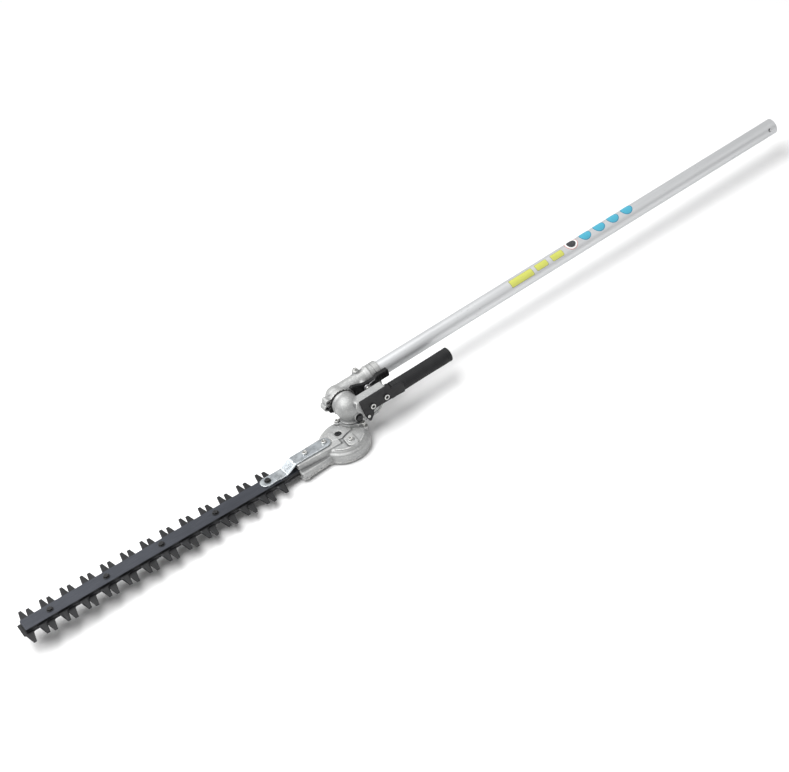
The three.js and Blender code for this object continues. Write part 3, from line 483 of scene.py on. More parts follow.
def add_mesh(name, points, faces, material, shading=None, cutter=False):
    """An object from points in the head's or the cutter's frame; shading is normals, edge and painted shade.
    """
    normals, *marks = shading or (None,)
    points = np.array(points, float)
    if cutter:
        points = cutter_to_head(points)
        normals = None if normals is None else cutter_to_head(normals)
    points[:, 0] -= POLE_REACH
    mesh = bpy.data.meshes.new(name)
    mesh.from_pydata((points * MM).tolist(), [], [list(map(int, face)) for face in faces])
    mesh.validate()
    thing = bpy.data.objects.new(name, mesh)
    bpy.context.scene.collection.objects.link(thing)
    for entry in material if isinstance(material, list) else [material]:
        mesh.materials.append(entry)
    for mark, values in zip(("edge", "painted_shade"), marks or (None, None)):
        layer = mesh.attributes.new(mark, "FLOAT", "POINT")
        if values is not None:
            layer.data.foreach_set("value", np.asarray(values, np.float32))
    mesh.polygons.foreach_set("use_smooth", np.ones(len(mesh.polygons), bool))
    if normals is None:
        mesh.set_sharp_from_angle(angle=SHARP_ANGLE)
    else:
        mesh.normals_split_custom_set_from_vertices(normals.tolist())
    mesh.update()
    return thing


def face_outward(thing):
    """Turns every face of a closed mesh outward and keeps its hard corners."""
    bm = bmesh.new()
    bm.from_mesh(thing.data)
    bmesh.ops.recalc_face_normals(bm, faces=bm.faces)
    bm.to_mesh(thing.data)
    bm.free()
    thing.data.set_sharp_from_angle(angle=SHARP_ANGLE)


def belongs(thing, body, node=None):
    """Says which body a piece rides and which CAD node it takes the place of."""
    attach(thing, body)
    if node:
        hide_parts(node)


def field_piece(name, field, low, high, step, body, node, slot, cutter=False):
    """A piece from a field, within a box of two corners; step is the size of its mesh."""
    points, quads, *shading = skin(field, low, high, step)
    belongs(add_mesh(name, points, quads, SLOT_MATERIALS[slot], shading, cutter), body, node)


# ---------------------------------------------------------------- materials
class Finish:
    """One procedural material, built node by node on the object's own coordinates."""

    def __init__(self, name, colour, metallic, roughness, specular=0.5):
        self.material = bpy.data.materials.new(name)
        self.material.use_nodes = True
        self.tree = self.material.node_tree
        self.shader = self.tree.nodes["Principled BSDF"]
        self.shader.inputs["Metallic"].default_value = metallic
        self.shader.inputs["Roughness"].default_value = roughness
        self.shader.inputs["Specular IOR Level"].default_value = specular
        self.shader.inputs["Base Color"].default_value = (*colour, 1)
        self.colour = None
        self.roughness = roughness
        self.place = self.tree.nodes.new("ShaderNodeTexCoord").outputs["Object"]
        self.bump = None

    def node(self, kind, **values):
        made = self.tree.nodes.new(kind)
        for name, value in values.items():
            if name in made.inputs:
                if isinstance(value, bpy.types.NodeSocket):
                    self.tree.links.new(value, made.inputs[name])
                else:
                    made.inputs[name].default_value = value
            else:
                setattr(made, name, value)
        return made

    def link(self, source, target):
        self.tree.links.new(source, target)

    def stretched(self, scale):
        """The object's coordinates, drawn out or squeezed along each axis."""
        made = self.node("ShaderNodeMapping", Scale=scale)
        self.link(self.place, made.inputs["Vector"])
        return made.outputs["Vector"]

    def noise(self, scale, detail=3.0, rough=0.55, spread=(1, 1, 1)):
        made = self.node("ShaderNodeTexNoise", Scale=scale, Detail=detail, Roughness=rough)
        self.link(self.stretched(spread), made.inputs["Vector"])
        return made.outputs["Fac"]

    def cells(self, scale):
        made = self.node("ShaderNodeTexVoronoi", Scale=scale)
        self.link(self.place, made.inputs["Vector"])
        return made.outputs["Distance"]

    def attribute(self, name):
        return self.node("ShaderNodeAttribute", attribute_name=name).outputs["Fac"]

    def between(self, source, low, high, to_low=0.0, to_high=1.0):
        """Maps a value's range onto another, held at its ends."""
        made = self.tree.nodes.new("ShaderNodeMapRange")
        self.link(source, made.inputs["Value"])
        for name, value in (("From Min", low), ("From Max", high), ("To Min", to_low), ("To Max", to_high)):
            made.inputs[name].default_value = value
        return made.outputs["Result"]

    def maths(self, operation, a, b):
        made = self.node("ShaderNodeMath", operation=operation)
        for socket, value in zip(made.inputs, (a, b)):
            if isinstance(value, bpy.types.NodeSocket):
                self.link(value, socket)
            else:
                socket.default_value = value
        return made.outputs["Value"]

    def tint(self, factor, colour):
        """Mixes a colour into the base colour by a factor."""
        made = self.tree.nodes.new("ShaderNodeMix")
        made.data_type = "RGBA"
        self.link(factor, made.inputs["Factor"])
        sockets = [socket for socket in made.inputs if socket.type == "RGBA"]
        sockets[1].default_value = (*colour, 1)
        if self.colour is None:
            sockets[0].default_value = self.shader.inputs["Base Color"].default_value
        else:
            self.link(self.colour, sockets[0])
        self.colour = next(socket for socket in made.outputs if socket.type == "RGBA")

    def spot(self, source, low, high, share, colour):
        """Mixes in up to a share of a colour as a source's value goes from low to high."""
        self.tint(self.between(source, low, high, 0, share), colour)

    def roughen(self, source, low, high, to_low, to_high):
        """Adds to the roughness by a source's value."""
        self.roughness = self.maths("ADD", self.roughness, self.between(source, low, high, to_low, to_high))

    def raise_by(self, source, strength, distance):
        """Adds a bump layer; distance is in metres."""
        made = self.node("ShaderNodeBump", Strength=strength, Distance=distance)
        self.link(source, made.inputs["Height"])
        if self.bump is not None:
            self.link(self.bump, made.inputs["Normal"])
        self.bump = made.outputs["Normal"]

    def done(self):
        built = {"Base Color": self.colour, "Roughness": self.roughness, "Normal": self.bump}
        for name, source in built.items():
            if isinstance(source, bpy.types.NodeSocket):
                self.link(source, self.shader.inputs[name])
        return self.material


def cast_metal():
    made = Finish("cast_aluminium", (0.42, 0.425, 0.42), 0.62, 0.55)
    made.spot(made.noise(45, 4), 0.35, 0.7, 0.6, (0.31, 0.315, 0.32))
    made.spot(made.noise(420, 3), 0.50, 0.70, 0.7, (0.56, 0.56, 0.55))
    # painted shade: the casting goes dark where it is closed in, as if in shadow
    made.spot(made.attribute("painted_shade"), 0.10, 0.55, 0.72, (0.13, 0.135, 0.14))
    # painted shade: hollows and inner corners are darkened as if shadowed
    made.spot(made.attribute("edge"), -0.15, -1.2, 0.75, (0.12, 0.12, 0.12))
    worn = made.maths("MULTIPLY", made.between(made.attribute("edge"), 0.35, 1.1),
                      made.between(made.noise(260, 3), 0.42, 0.60))
    made.tint(worn, (0.74, 0.74, 0.72))
    made.roughen(made.noise(60, 3), 0.3, 0.7, -0.05, 0.10)
    made.roughen(worn, 0, 1, 0, -0.12)
    made.raise_by(made.noise(1500, 2, 0.6), 0.35, 0.0003)
    made.raise_by(made.noise(240, 3, 0.5), 0.40, 0.0007)
    return made.done()


def pole_metal():
    made = Finish("anodised_pole", (0.66, 0.67, 0.68), 0.55, 0.42)
    made.spot(made.noise(30, 4, 0.6, (0.10, 1, 1)), 0.35, 0.65, 0.35, (0.58, 0.59, 0.60))
    made.spot(made.noise(900, 2, 0.6, (0.012, 1, 1)), 0.50, 0.75, 0.35, (0.76, 0.77, 0.78))
    scuffs = made.maths("MULTIPLY", made.between(made.noise(14, 3), 0.52, 0.64),
                        made.between(made.noise(420, 4, 0.7, (0.35, 1, 1)), 0.60, 0.68))
    made.tint(scuffs, (0.42, 0.42, 0.42))
    made.roughen(made.noise(18, 4, 0.6, (0.4, 1, 1)), 0.3, 0.7, -0.04, 0.09)
    made.roughen(scuffs, 0, 1, 0, 0.15)
    made.raise_by(made.noise(1100, 2, 0.6, (0.01, 1, 1)), 0.22, 0.0001)
    return made.done()


def zinc_metal():
    made = Finish("zinc_plate", (0.56, 0.60, 0.63), 0.85, 0.27)
    made.spot(made.cells(160), 0.1, 0.7, 0.4, (0.48, 0.52, 0.56))
    made.spot(made.noise(70, 4), 0.45, 0.68, 0.5, (0.66, 0.69, 0.70))
    made.spot(made.attribute("edge"), 0.5, 1.4, 0.6, (0.80, 0.82, 0.83))
    # painted shade: hollows and inner corners are darkened as if shadowed
    made.spot(made.attribute("edge"), -0.2, -1.2, 0.6, (0.20, 0.21, 0.22))
    made.roughen(made.noise(110, 3), 0.3, 0.7, -0.06, 0.14)
    made.raise_by(made.noise(900, 2), 0.12, 0.0002)
    made.raise_by(made.noise(120, 2), 0.15, 0.0005)
    return made.done()


def bar_metal():
    made = Finish("blued_bar", (0.044, 0.048, 0.059), 0.5, 0.46)
    made.spot(made.noise(26, 4, 0.6, (0.35, 1, 1)), 0.35, 0.7, 0.8, (0.030, 0.033, 0.042))
    made.spot(made.noise(900, 3, 0.6, (0.03, 1, 1)), 0.54, 0.74, 0.5, (0.085, 0.090, 0.105))
    made.spot(made.attribute("edge"), 0.4, 1.0, 0.45, (0.20, 0.21, 0.23))
    made.roughen(made.noise(40, 4, 0.6, (0.3, 1, 1)), 0.3, 0.7, -0.08, 0.12)
    made.raise_by(made.noise(900, 2, 0.6, (0.02, 1, 1)), 0.25, 0.00012)
    made.raise_by(made.noise(300, 2), 0.1, 0.0003)
    return made.done()


def blade_metal(name, colour, light, metallic, roughness):
    made = Finish(name, colour, metallic, roughness)
    made.spot(made.noise(34, 4), 0.36, 0.68, 0.6, tuple(0.62 * c for c in colour))
    made.spot(made.noise(1000, 3, 0.6, (1, 0.04, 1)), 0.52, 0.74, 0.55, light)
    made.roughen(made.noise(60, 3), 0.3, 0.7, -0.07, 0.12)
    made.raise_by(made.noise(900, 2, 0.6, (1, 0.03, 1)), 0.25, 0.00012)
    return made.done()


def plain_steel(name, colour, metallic, roughness, wear):
    made = Finish(name, colour, metallic, roughness)
    made.spot(made.noise(180, 3), 0.38, 0.66, 0.5, tuple(0.72 * c for c in colour))
    made.spot(made.attribute("edge"), 0.6, 2.0, 0.55, wear)
    # painted shade: hollows and inner corners are darkened as if shadowed
    made.spot(made.attribute("edge"), -0.4, -2.0, 0.7, tuple(0.3 * c for c in colour))
    made.roughen(made.noise(300, 3), 0.3, 0.7, -0.06, 0.12)
    made.raise_by(made.noise(1600, 2), 0.15, 0.00012)
    return made.done()


def moulded(name, colour, roughness, grain, strength, dust):
    made = Finish(name, colour, 0.0, roughness, 0.35)
    made.spot(made.noise(40, 4), 0.46, 0.74, 0.5, dust)
    made.spot(made.attribute("edge"), 0.5, 1.4, 0.35, tuple(2.6 * c for c in dust))
    made.roughen(made.noise(90, 3), 0.3, 0.7, -0.06, 0.10)
    made.raise_by(made.noise(grain, 2, 0.7), strength, 0.00018)
    made.raise_by(made.cells(grain * 0.8), strength * 0.5, 0.00012)
    return made.done()


def label_film(name, colour):
    made = Finish(name, colour, 0.0, 0.34, 0.4)
    made.spot(made.noise(120, 4), 0.45, 0.75, 0.18, tuple(0.75 * c for c in colour))
    worn = made.maths("MULTIPLY", made.between(made.noise(900, 4, 0.7), 0.62, 0.70),
                      made.between(made.noise(60, 2), 0.50, 0.62))
    made.tint(worn, (0.62, 0.63, 0.63))
    made.roughen(made.noise(200, 3), 0.3, 0.7, -0.05, 0.10)
    made.raise_by(made.noise(500, 2), 0.06, 0.0001)
    return made.done()


CAST = cast_metal()
POLE = pole_metal()
ZINC = zinc_metal()
BAR = bar_metal()
BLADE = blade_metal("oxide_blade", (0.009, 0.0093, 0.0105), (0.036, 0.037, 0.040), 0.3, 0.55)
GROUND = blade_metal("ground_edge", (0.030, 0.031, 0.034), (0.11, 0.115, 0.12), 0.5, 0.42)
STEEL = plain_steel("turned_steel", (0.42, 0.42, 0.43), 0.9, 0.30, (0.65, 0.65, 0.66))
BRIGHT = plain_steel("bright_fastener", (0.66, 0.66, 0.64), 0.85, 0.26, (0.85, 0.85, 0.84))
DARK = plain_steel("dark_fastener", (0.008, 0.008, 0.0085), 0.3, 0.42, (0.05, 0.05, 0.053))
PLASTIC = moulded("black_moulding", (0.008, 0.008, 0.009), 0.50, 1500, 0.20, (0.012, 0.012, 0.013))
RUBBER = moulded("grip_rubber", (0.009, 0.0095, 0.0105), 0.62, 1100, 0.40, (0.015, 0.015, 0.016))
BUSH = moulded("bush_rubber", (0.03, 0.03, 0.03), 0.7, 1200, 0.3, (0.04, 0.04, 0.04))
YELLOW = label_film("film_yellow", (0.56, 0.58, 0.12))
BLUE = label_film("film_blue", (0.075, 0.38, 0.52))
DEEP_BLUE = label_film("film_deep_blue", (0.03, 0.20, 0.33))
INK = label_film("film_dark", (0.05, 0.05, 0.055))
RED = label_film("film_red", (0.55, 0.05, 0.04))
PALE = label_film("film_pale", (0.80, 0.80, 0.79))

SLOT_MATERIALS = {
    "pole": POLE, "casting": CAST, "zinc_plate": ZINC, "bar_steel": BAR, "blade_steel": BLADE,
    "machined_steel": STEEL, "bright_fastener": BRIGHT, "dark_fastener": DARK, "black_plastic": PLASTIC,
    "grip_rubber": RUBBER, "bush_rubber": BUSH,
}


def dress_frame():
    """Every CAD node starts with the procedural finish of its slot."""
    slots = {sub["node"]: sub["material_slot"] for sub in frame["record"]["subparts"]}
    for name, thing in frame["nodes"].items():
        chosen = SLOT_MATERIALS[slots[name]]
        thing.data.materials.clear()
        thing.data.materials.append(chosen)


# ---------------------------------------------------------------- studio, in metres and watts
WORLD_STRENGTH = 0.34
FLOOR_DROP = 0.0006
FLOOR_HALF = 9.0


def area_light(name, place, target, size, watts):
    """A square soft light in metres and watts, turned to its target."""
    data = bpy.data.lights.new(name, "AREA")
    data.shape = "SQUARE"
    data.size = size
    data.energy = watts
    light = bpy.data.objects.new(name, data)
    bpy.context.scene.collection.objects.link(light)
    light.location = place
    light.rotation_mode = "QUATERNION"
    light.rotation_quaternion = (Vector(target) - Vector(place)).to_track_quat("-Z", "Y")
    return light


def add_studio():
    """A pale paper floor just under the object, an even white sky and two large soft lights."""
    scene = bpy.context.scene
    scene.view_settings.view_transform = "Standard"
    world = bpy.data.worlds.new("studio")
    world.use_nodes = True
    sky = world.node_tree.nodes["Background"]
    sky.inputs["Color"].default_value = (1, 1, 1, 1)
    sky.inputs["Strength"].default_value = WORLD_STRENGTH
    scene.world = world
    middle = (cad_low + cad_high) / 2
    bm = bmesh.new()
    bmesh.ops.create_grid(bm, x_segments=24, y_segments=24, size=FLOOR_HALF)
    mesh = bpy.data.meshes.new("floor")
    bm.to_mesh(mesh)
    bm.free()
    floor = bpy.data.objects.new("floor", mesh)
    scene.collection.objects.link(floor)
    floor.location = (middle.x, middle.y, cad_low.z - FLOOR_DROP)
    paper = Finish("pale_paper", (0.90, 0.90, 0.90), 0.0, 0.9, 0.1)
    paper.raise_by(paper.noise(30, 2), 0.02, 0.001)
    mesh.materials.append(paper.done())
    area_light("key", (-1.7, 0.5, 2.3), (-0.9, 0, 0), 2.6, 112)
    area_light("fill", (0.9, -1.6, 1.9), (-0.6, 0, 0), 2.0, 8)


# ---------------------------------------------------------------- upper gear case
def plane(axis, level, side):
    """Everything beyond a level along an axis; side is 1 above it and -1 below it."""
    return lambda p: side * (level - p[axis])


def build_upper_case():
    """The casting on the pole: an elbow with a clamped collar, a pivot flange with two lobes and a stub."""
    mouth = CASE_LENGTH - 20
    shapes = [
        tube(0, CASE_RADIUS - 0.4, 0, mouth, rounding=3),
        ball(CASE_RADIUS + 0.5, (0, 0, 0)),
        tube(1, CASE_RADIUS, -12, 0, rounding=2),
        tube(0, CASE_RADIUS - 0.4, mouth - 5, mouth, rounding=0.2, end_radius=COLLAR_RADIUS),
        tube(0, COLLAR_RADIUS, mouth - 0.5, CASE_LENGTH, rounding=1.4),
        tube(1, FLANGE_RADIUS, CASE_FACE - 3, -11.5, rounding=1.6),
        block([mouth + 3, -CLAMP_HALF, -26], [CASE_LENGTH - 3, CLAMP_HALF, -10], 2.2),
        tube(2, 6.6, 8, STUD_SEAT - 2.5, STUD, 0.8, 5.6),
        tube(2, 5.4, 8, STUD_SEAT, STUD, 0.7),
        tube(1, 6, LEVER_BACK + 0.4, -10, LEVER_PIVOT, 0.8),
    ]
    for x, z in LOBES:
        shapes.append(tube(1, 5.6, CASE_FACE - 3, -LOBE_BACK, (x, z), 1.3))
        shapes.append(tube(1, 7, CASE_FACE - 3, -8, (x * 0.72, z * 0.72), 1.6))
    body = carved(merged(shapes, 3.0), [plane(1, CASE_FACE, -1)], 0.5)
    whole = merged([body, tube(1, STUB_RADIUS, STUB_END, CASE_FACE + 2, rounding=0.5)], 0)
    kept_from_groove = [tube(0, COLLAR_RADIUS - 0.5, mouth, CASE_LENGTH, rounding=0.1), plane(2, -9, -1)]
    cuts = [
        tube(0, POLE_RADIUS + GAP, POLE_SEAT - GAP, CASE_LENGTH + 4, rounding=0.2),
        tube(0, 12.6, 3, POLE_SEAT + 1, rounding=0.5),
        tube(1, 12.6, -13.4, -1, rounding=0.5),
        tube(1, 9.3, STUB_END - 3, -3, rounding=0.2),
        block([mouth + 2, -0.9, -30], [CASE_LENGTH + 4, 0.9, -12], 0.1),
        tube(1, BOLT_RADIUS + GAP, -30, 30, CLAMP_BOLT, 0.2),
        tube(2, 2.5 + GAP, 12, 30, STUD, 0.2),
        tube(1, LEVER_PIN_RADIUS + GAP, -30, -8, LEVER_PIVOT, 0.2),
        carved(tube(0, COLLAR_RADIUS + 2, mouth + 9.2, mouth + 10.2, rounding=0.1), kept_from_groove, 0.1),
    ]
    for x, z in LOBES:
        cuts.append(tube(1, 2.2 + GAP, -30, 6, (x, z), 0.2))
    field_piece("upper_case_casting", carved(whole, cuts), (-34, STUB_END, -29), (CASE_LENGTH, 17, 20),
                0.72, "pole_side", "upper_gear_case", "casting")


def hexagon(axis, across_half, start, end, centre=(0, 0), rounding=0.15):
    points = [(centre[0] + across_half / math.cos(math.pi / 6) * math.cos(math.pi / 3 * k + math.pi / 6),
               centre[1] + across_half / math.cos(math.pi / 6) * math.sin(math.pi / 3 * k + math.pi / 6))
              for k in range(6)]
    return slab(axis, points, start, end, rounding)


# ---------------------------------------------------------------- arm housing
def build_arm():
    """The tilting casting: a hollow dome, a neck flange below it and a tongue for the handle's bracket."""
    centre = (0, ARM_Y, 0)
    flange_low = CASE_TOP + GAP
    tongue = rounded([(10.5, -8), (5, -3), (4.5, 5), (6.5, 14), (64, 14), (64, -4), (54, -12), (46, -21),
                      (38, -27), (14, -26)], [3, 3, 5, 2.5, 3, 5, 6, 6, 4, 3])
    pocket = rounded([(14, -8), (14, 11), (60, 11), (60, -3), (50, -12), (40, -22), (16, -22)], 3)
    shapes = [
        ball(DOME_RADIUS, centre),
        tube(1, 20, ARM_Y, ARM_FACE + 3, rounding=0.4),
        tube(1, 20.7, ARM_FACE - 3.4, ARM_FACE + 3, rounding=0.8),
        in_cutter(tube(2, 15.5, FLANGE_HIGH - 1, -8, (0, ARM_Y), 0.5)),
        in_cutter(tube(2, 18.0, -22.9, -19.9, (0, ARM_Y), 1.0)),
        in_cutter(tube(2, 18.3, flange_low - 3, FLANGE_HIGH, (0, ARM_Y), 1.2)),
        slab(1, tongue, -62, -42, 1.2),
        tube(1, BOLT_BOSS_RADIUS, BOLT_BOSS_FACE, -40, BOLT_BOSS, 0.9),
    ]
    for x, y in NECK_SCREWS:
        shapes.append(in_cutter(tube(2, 6, flange_low - 3, FLANGE_HIGH, (x, y), 1.3)))
        shapes.append(in_cutter(web((0, ARM_Y), (x, y), 12, 5, flange_low - 3, FLANGE_HIGH, 1.3)))
    trims = [plane(1, ARM_FACE, 1), plane(1, TONGUE_FACE, -1), in_cutter(plane(2, flange_low, -1))]
    body = carved(merged(shapes, 2.6), trims, 0.5)
    cuts = [
        ball(DOME_RADIUS - DOME_WALL, centre),
        tube(1, STUB_RADIUS + GAP, ARM_FACE - 3, ARM_FACE + 8, rounding=0.1),
        tube(1, 16, ARM_Y, ARM_FACE - 2.4, rounding=0.3),
        in_cutter(tube(2, 11.3, -40, -8, (0, ARM_Y), 0.2)),
        tube(1, BOLT_RADIUS + GAP, -62, -46, BOLT_BOSS, 0.2),
        slab(1, pocket, -66, -59.2, 0.3),
    ]
    for x, y in NECK_SCREWS:
        cuts.append(in_cutter(tube(2, 2 + GAP, -40, -15, (x, y), 0.2)))
        cuts.append(in_cutter(tube(2, 5.2, FLANGE_HIGH, FLANGE_HIGH + 9, (x, y), 0.5)))
    for x, z in BRACKET_SCREWS:
        cuts.append(tube(1, 2 + GAP, -62, -48, (x, z), 0.2))
    field_piece("arm_casting", carved(body, cuts, 0.35), (-28, -69, -33), (64, ARM_FACE, 22),
                0.72, "arm", "arm_housing", "casting")


def build_index_plate():
    """The notched ring that the lock lever's pawl drops into, with its stop lug."""
    points = []
    pitch = 2 * math.pi / INDEX_NOTCHES
    depth = 2.4
    for i in range(INDEX_NOTCHES):
        for radius, share in ((INDEX_RADIUS - depth, -0.30), (INDEX_RADIUS, -0.14),
                              (INDEX_RADIUS, 0.14), (INDEX_RADIUS - depth, 0.30)):
            angle = pitch * (i + 0.5 + share)
            points.append((radius * math.cos(angle), radius * math.sin(angle)))
    disc = slab(1, rounded(points, 0.6, 2), PLATE[0], PLATE[1], 0.5)
    bore = tube(1, STUB_RADIUS + GAP, -30, -10, rounding=0.1)
    groove = carved(tube(1, 18.6, PLATE[0] - 2, PLATE[0] + 0.5, rounding=0.2),
                    [tube(1, 16.6, -30, -10, rounding=0.1)], 0.1)
    knob = carved(tube(1, STOP_LUG["radius"], STOP_LUG["front"], PLATE[1], STOP_LUG["at"], 1.2),
                  [tube(1, 20.3, -40, PLATE[0] + 0.2, rounding=0.3)], 0.3)
    field_piece("index_ring", merged([carved(disc, [bore, groove], 0.3), knob], 0.3),
                (-28, STOP_LUG["front"], -23), (23, PLATE[1], 23), 0.5, "arm", "index_plate", "dark_fastener")


# ---------------------------------------------------------------- handle
def build_handle():
    """The moulded bracket with its core, and the rubber grip pushed over the core."""
    plate = rounded([(14.2, -14.5), (11.2, 16), (68, 16), (68, 6), (92, 5), (92, -14), (66, -11.8),
                     (37, -11.2), (30.5, -12.8), (29.5, -20), (21.5, -28.8), (18.6, -28)],
                    [4, 0.8, 1.5, 2, 3, 2, 8, 5, 4, 3, 1.5, 1.5])

    shapes = [
        slab(1, plate, BRACKET_FACE, TONGUE_FACE - GAP, 0.7),
        block([66, -64, -13.5], [74, -41, 2.5], 1.5),
    ]
    cuts = [tube(1, 2 + GAP, -70, -50, at, 0.2) for at in BRACKET_SCREWS]
    cuts.append(tube(1, 1.6 + GAP, -70, -50, BRACKET_PIN, 0.2))
    cuts.append(tube(0, GRIP["radius"] + GAP, GRIP["from"], 100, (GRIP["y"], GRIP["z"]), 0.2))
    cuts.append(plane(1, BRACKET_FACE, -1))
    body = carved(merged(shapes, 1.5), cuts, 0.3)
    core = tube(0, GRIP["core"], 70, GRIP["to"] - 6, (GRIP["y"], GRIP["z"]), 0.6)
    field_piece("bracket_moulding", merged([body, core], 0), (11, -65, -31), (GRIP["to"] - 6, -40, 16),
                0.8, "arm", "handle_bracket", "black_plastic")

    axis = (GRIP["y"], GRIP["z"])
    start = GRIP["from"] + GAP
    plain = tube(0, GRIP["radius"], start, GRIP["to"], axis, 2.0)

    def grip(p):
        """A slightly waisted sleeve with shallow rings near both ends and lengthwise flutes."""
        along = (p[0] - start) / (GRIP["to"] - start)
        waist = 0.45 * np.sin(np.clip(along, 0, 1) * math.pi)
        angle = np.arctan2(p[2] - axis[1], p[1] - axis[0])
        fluted = np.clip((p[0] - start - 16) / 5, 0, 1) * np.clip((GRIP["to"] - 14 - p[0]) / 5, 0, 1)
        flutes = 0.16 * (1 + np.cos(angle * 28)) * fluted
        rings = np.zeros_like(p[0])
        for station in (start + 7, start + 11, GRIP["to"] - 9, GRIP["to"] - 5.5):
            rings = np.maximum(rings, 0.45 * np.exp(-((p[0] - station) / 0.8) ** 2))
        return plain(p) + waist + flutes + rings

    hollow = tube(0, GRIP["core"] + GAP, GRIP["from"] - 4, GRIP["to"] - 6 + GAP, axis, 0.2)
    dimple = tube(0, 6.5, GRIP["to"] - 1.2, GRIP["to"] + 4, axis, 0.4)
    sleeve = carved(grip, [hollow, dimple], 0.4)
    field_piece("grip_sleeve", sleeve, (start, -63, -20.5), (GRIP["to"], -37, 5.5), 0.75, "arm",
                "handle_grip", "grip_rubber")


# ---------------------------------------------------------------- lock lever
def build_lever():
    """The lock lever: a pawl, a thin web with pockets, and a ribbed thumb pad."""
    side = rounded([(23.9, -4), (24.6, 2), (23.2, 8.6), (18.8, 15.6), (22, 18.6), (31, 15.6), (41, 11),
                    (54, 9), (64, 9), (68, 13), (90, 13), (90, -1), (68, -1), (56, -3), (34, -5)],
                   [1, 4, 4, 2, 2, 4, 8, 8, 3, 2, 2, 2, 4, 8, 3])
    plan = rounded([(15, LEVER_BACK - 4), (22, LEVER_FRONT), (58, LEVER_FRONT), (64, LEVER_FRONT - 1.5),
                    (92, LEVER_FRONT - 1.5), (92, LEVER_BACK), (15, LEVER_BACK)], [0.5, 2, 3, 3, 2, 1, 0.5])
    profile = slab(1, side, LEVER_FRONT - 3, LEVER_BACK + 2, 0.2)
    footprint = slab(2, plan, -10, 20, 0.2)

    body = overlap(profile, footprint, 1.1)
    cuts = [tube(1, LEVER_PIN_RADIUS + GAP, -40, -10, LEVER_PIVOT, 0.2)]
    for i in range(5):
        cuts.append(block([70 + 4 * i, -40, 12.2], [71.6 + 4 * i, -10, 20], 0.3))
    for i in range(4):
        cuts.append(block([71 + 4.4 * i, -40, 1.5], [72.6 + 4.4 * i, LEVER_FRONT - 1.0, 10.5], 0.3))
    cuts.append(slab(1, rounded([(27, -1), (27, 9), (40, 7), (40, -1)], 1.5), -40, LEVER_FRONT + 0.9, 0.3))
    cuts.append(slab(1, rounded([(52, 0), (52, 6), (62, 6), (62, 1)], 1.2), -40, LEVER_FRONT + 0.9, 0.3))
    field_piece("lever_moulding", carved(body, cuts, 0.35), (15, LEVER_FRONT - 2, -6), (92, LEVER_BACK, 19.5),
                0.6, "lock_lever", "lock_lever", "black_plastic")


# ---------------------------------------------------------------- cutter case
def nose_plan(half):
    """The outline of the nose from its half-widths at the root and the end."""
    root = -40.0
    return [(root, BLADE_Y - half[0]), (root, BLADE_Y + half[0]), (NOSE_END, BLADE_Y + half[1]),
            (NOSE_END, BLADE_Y - half[1])]


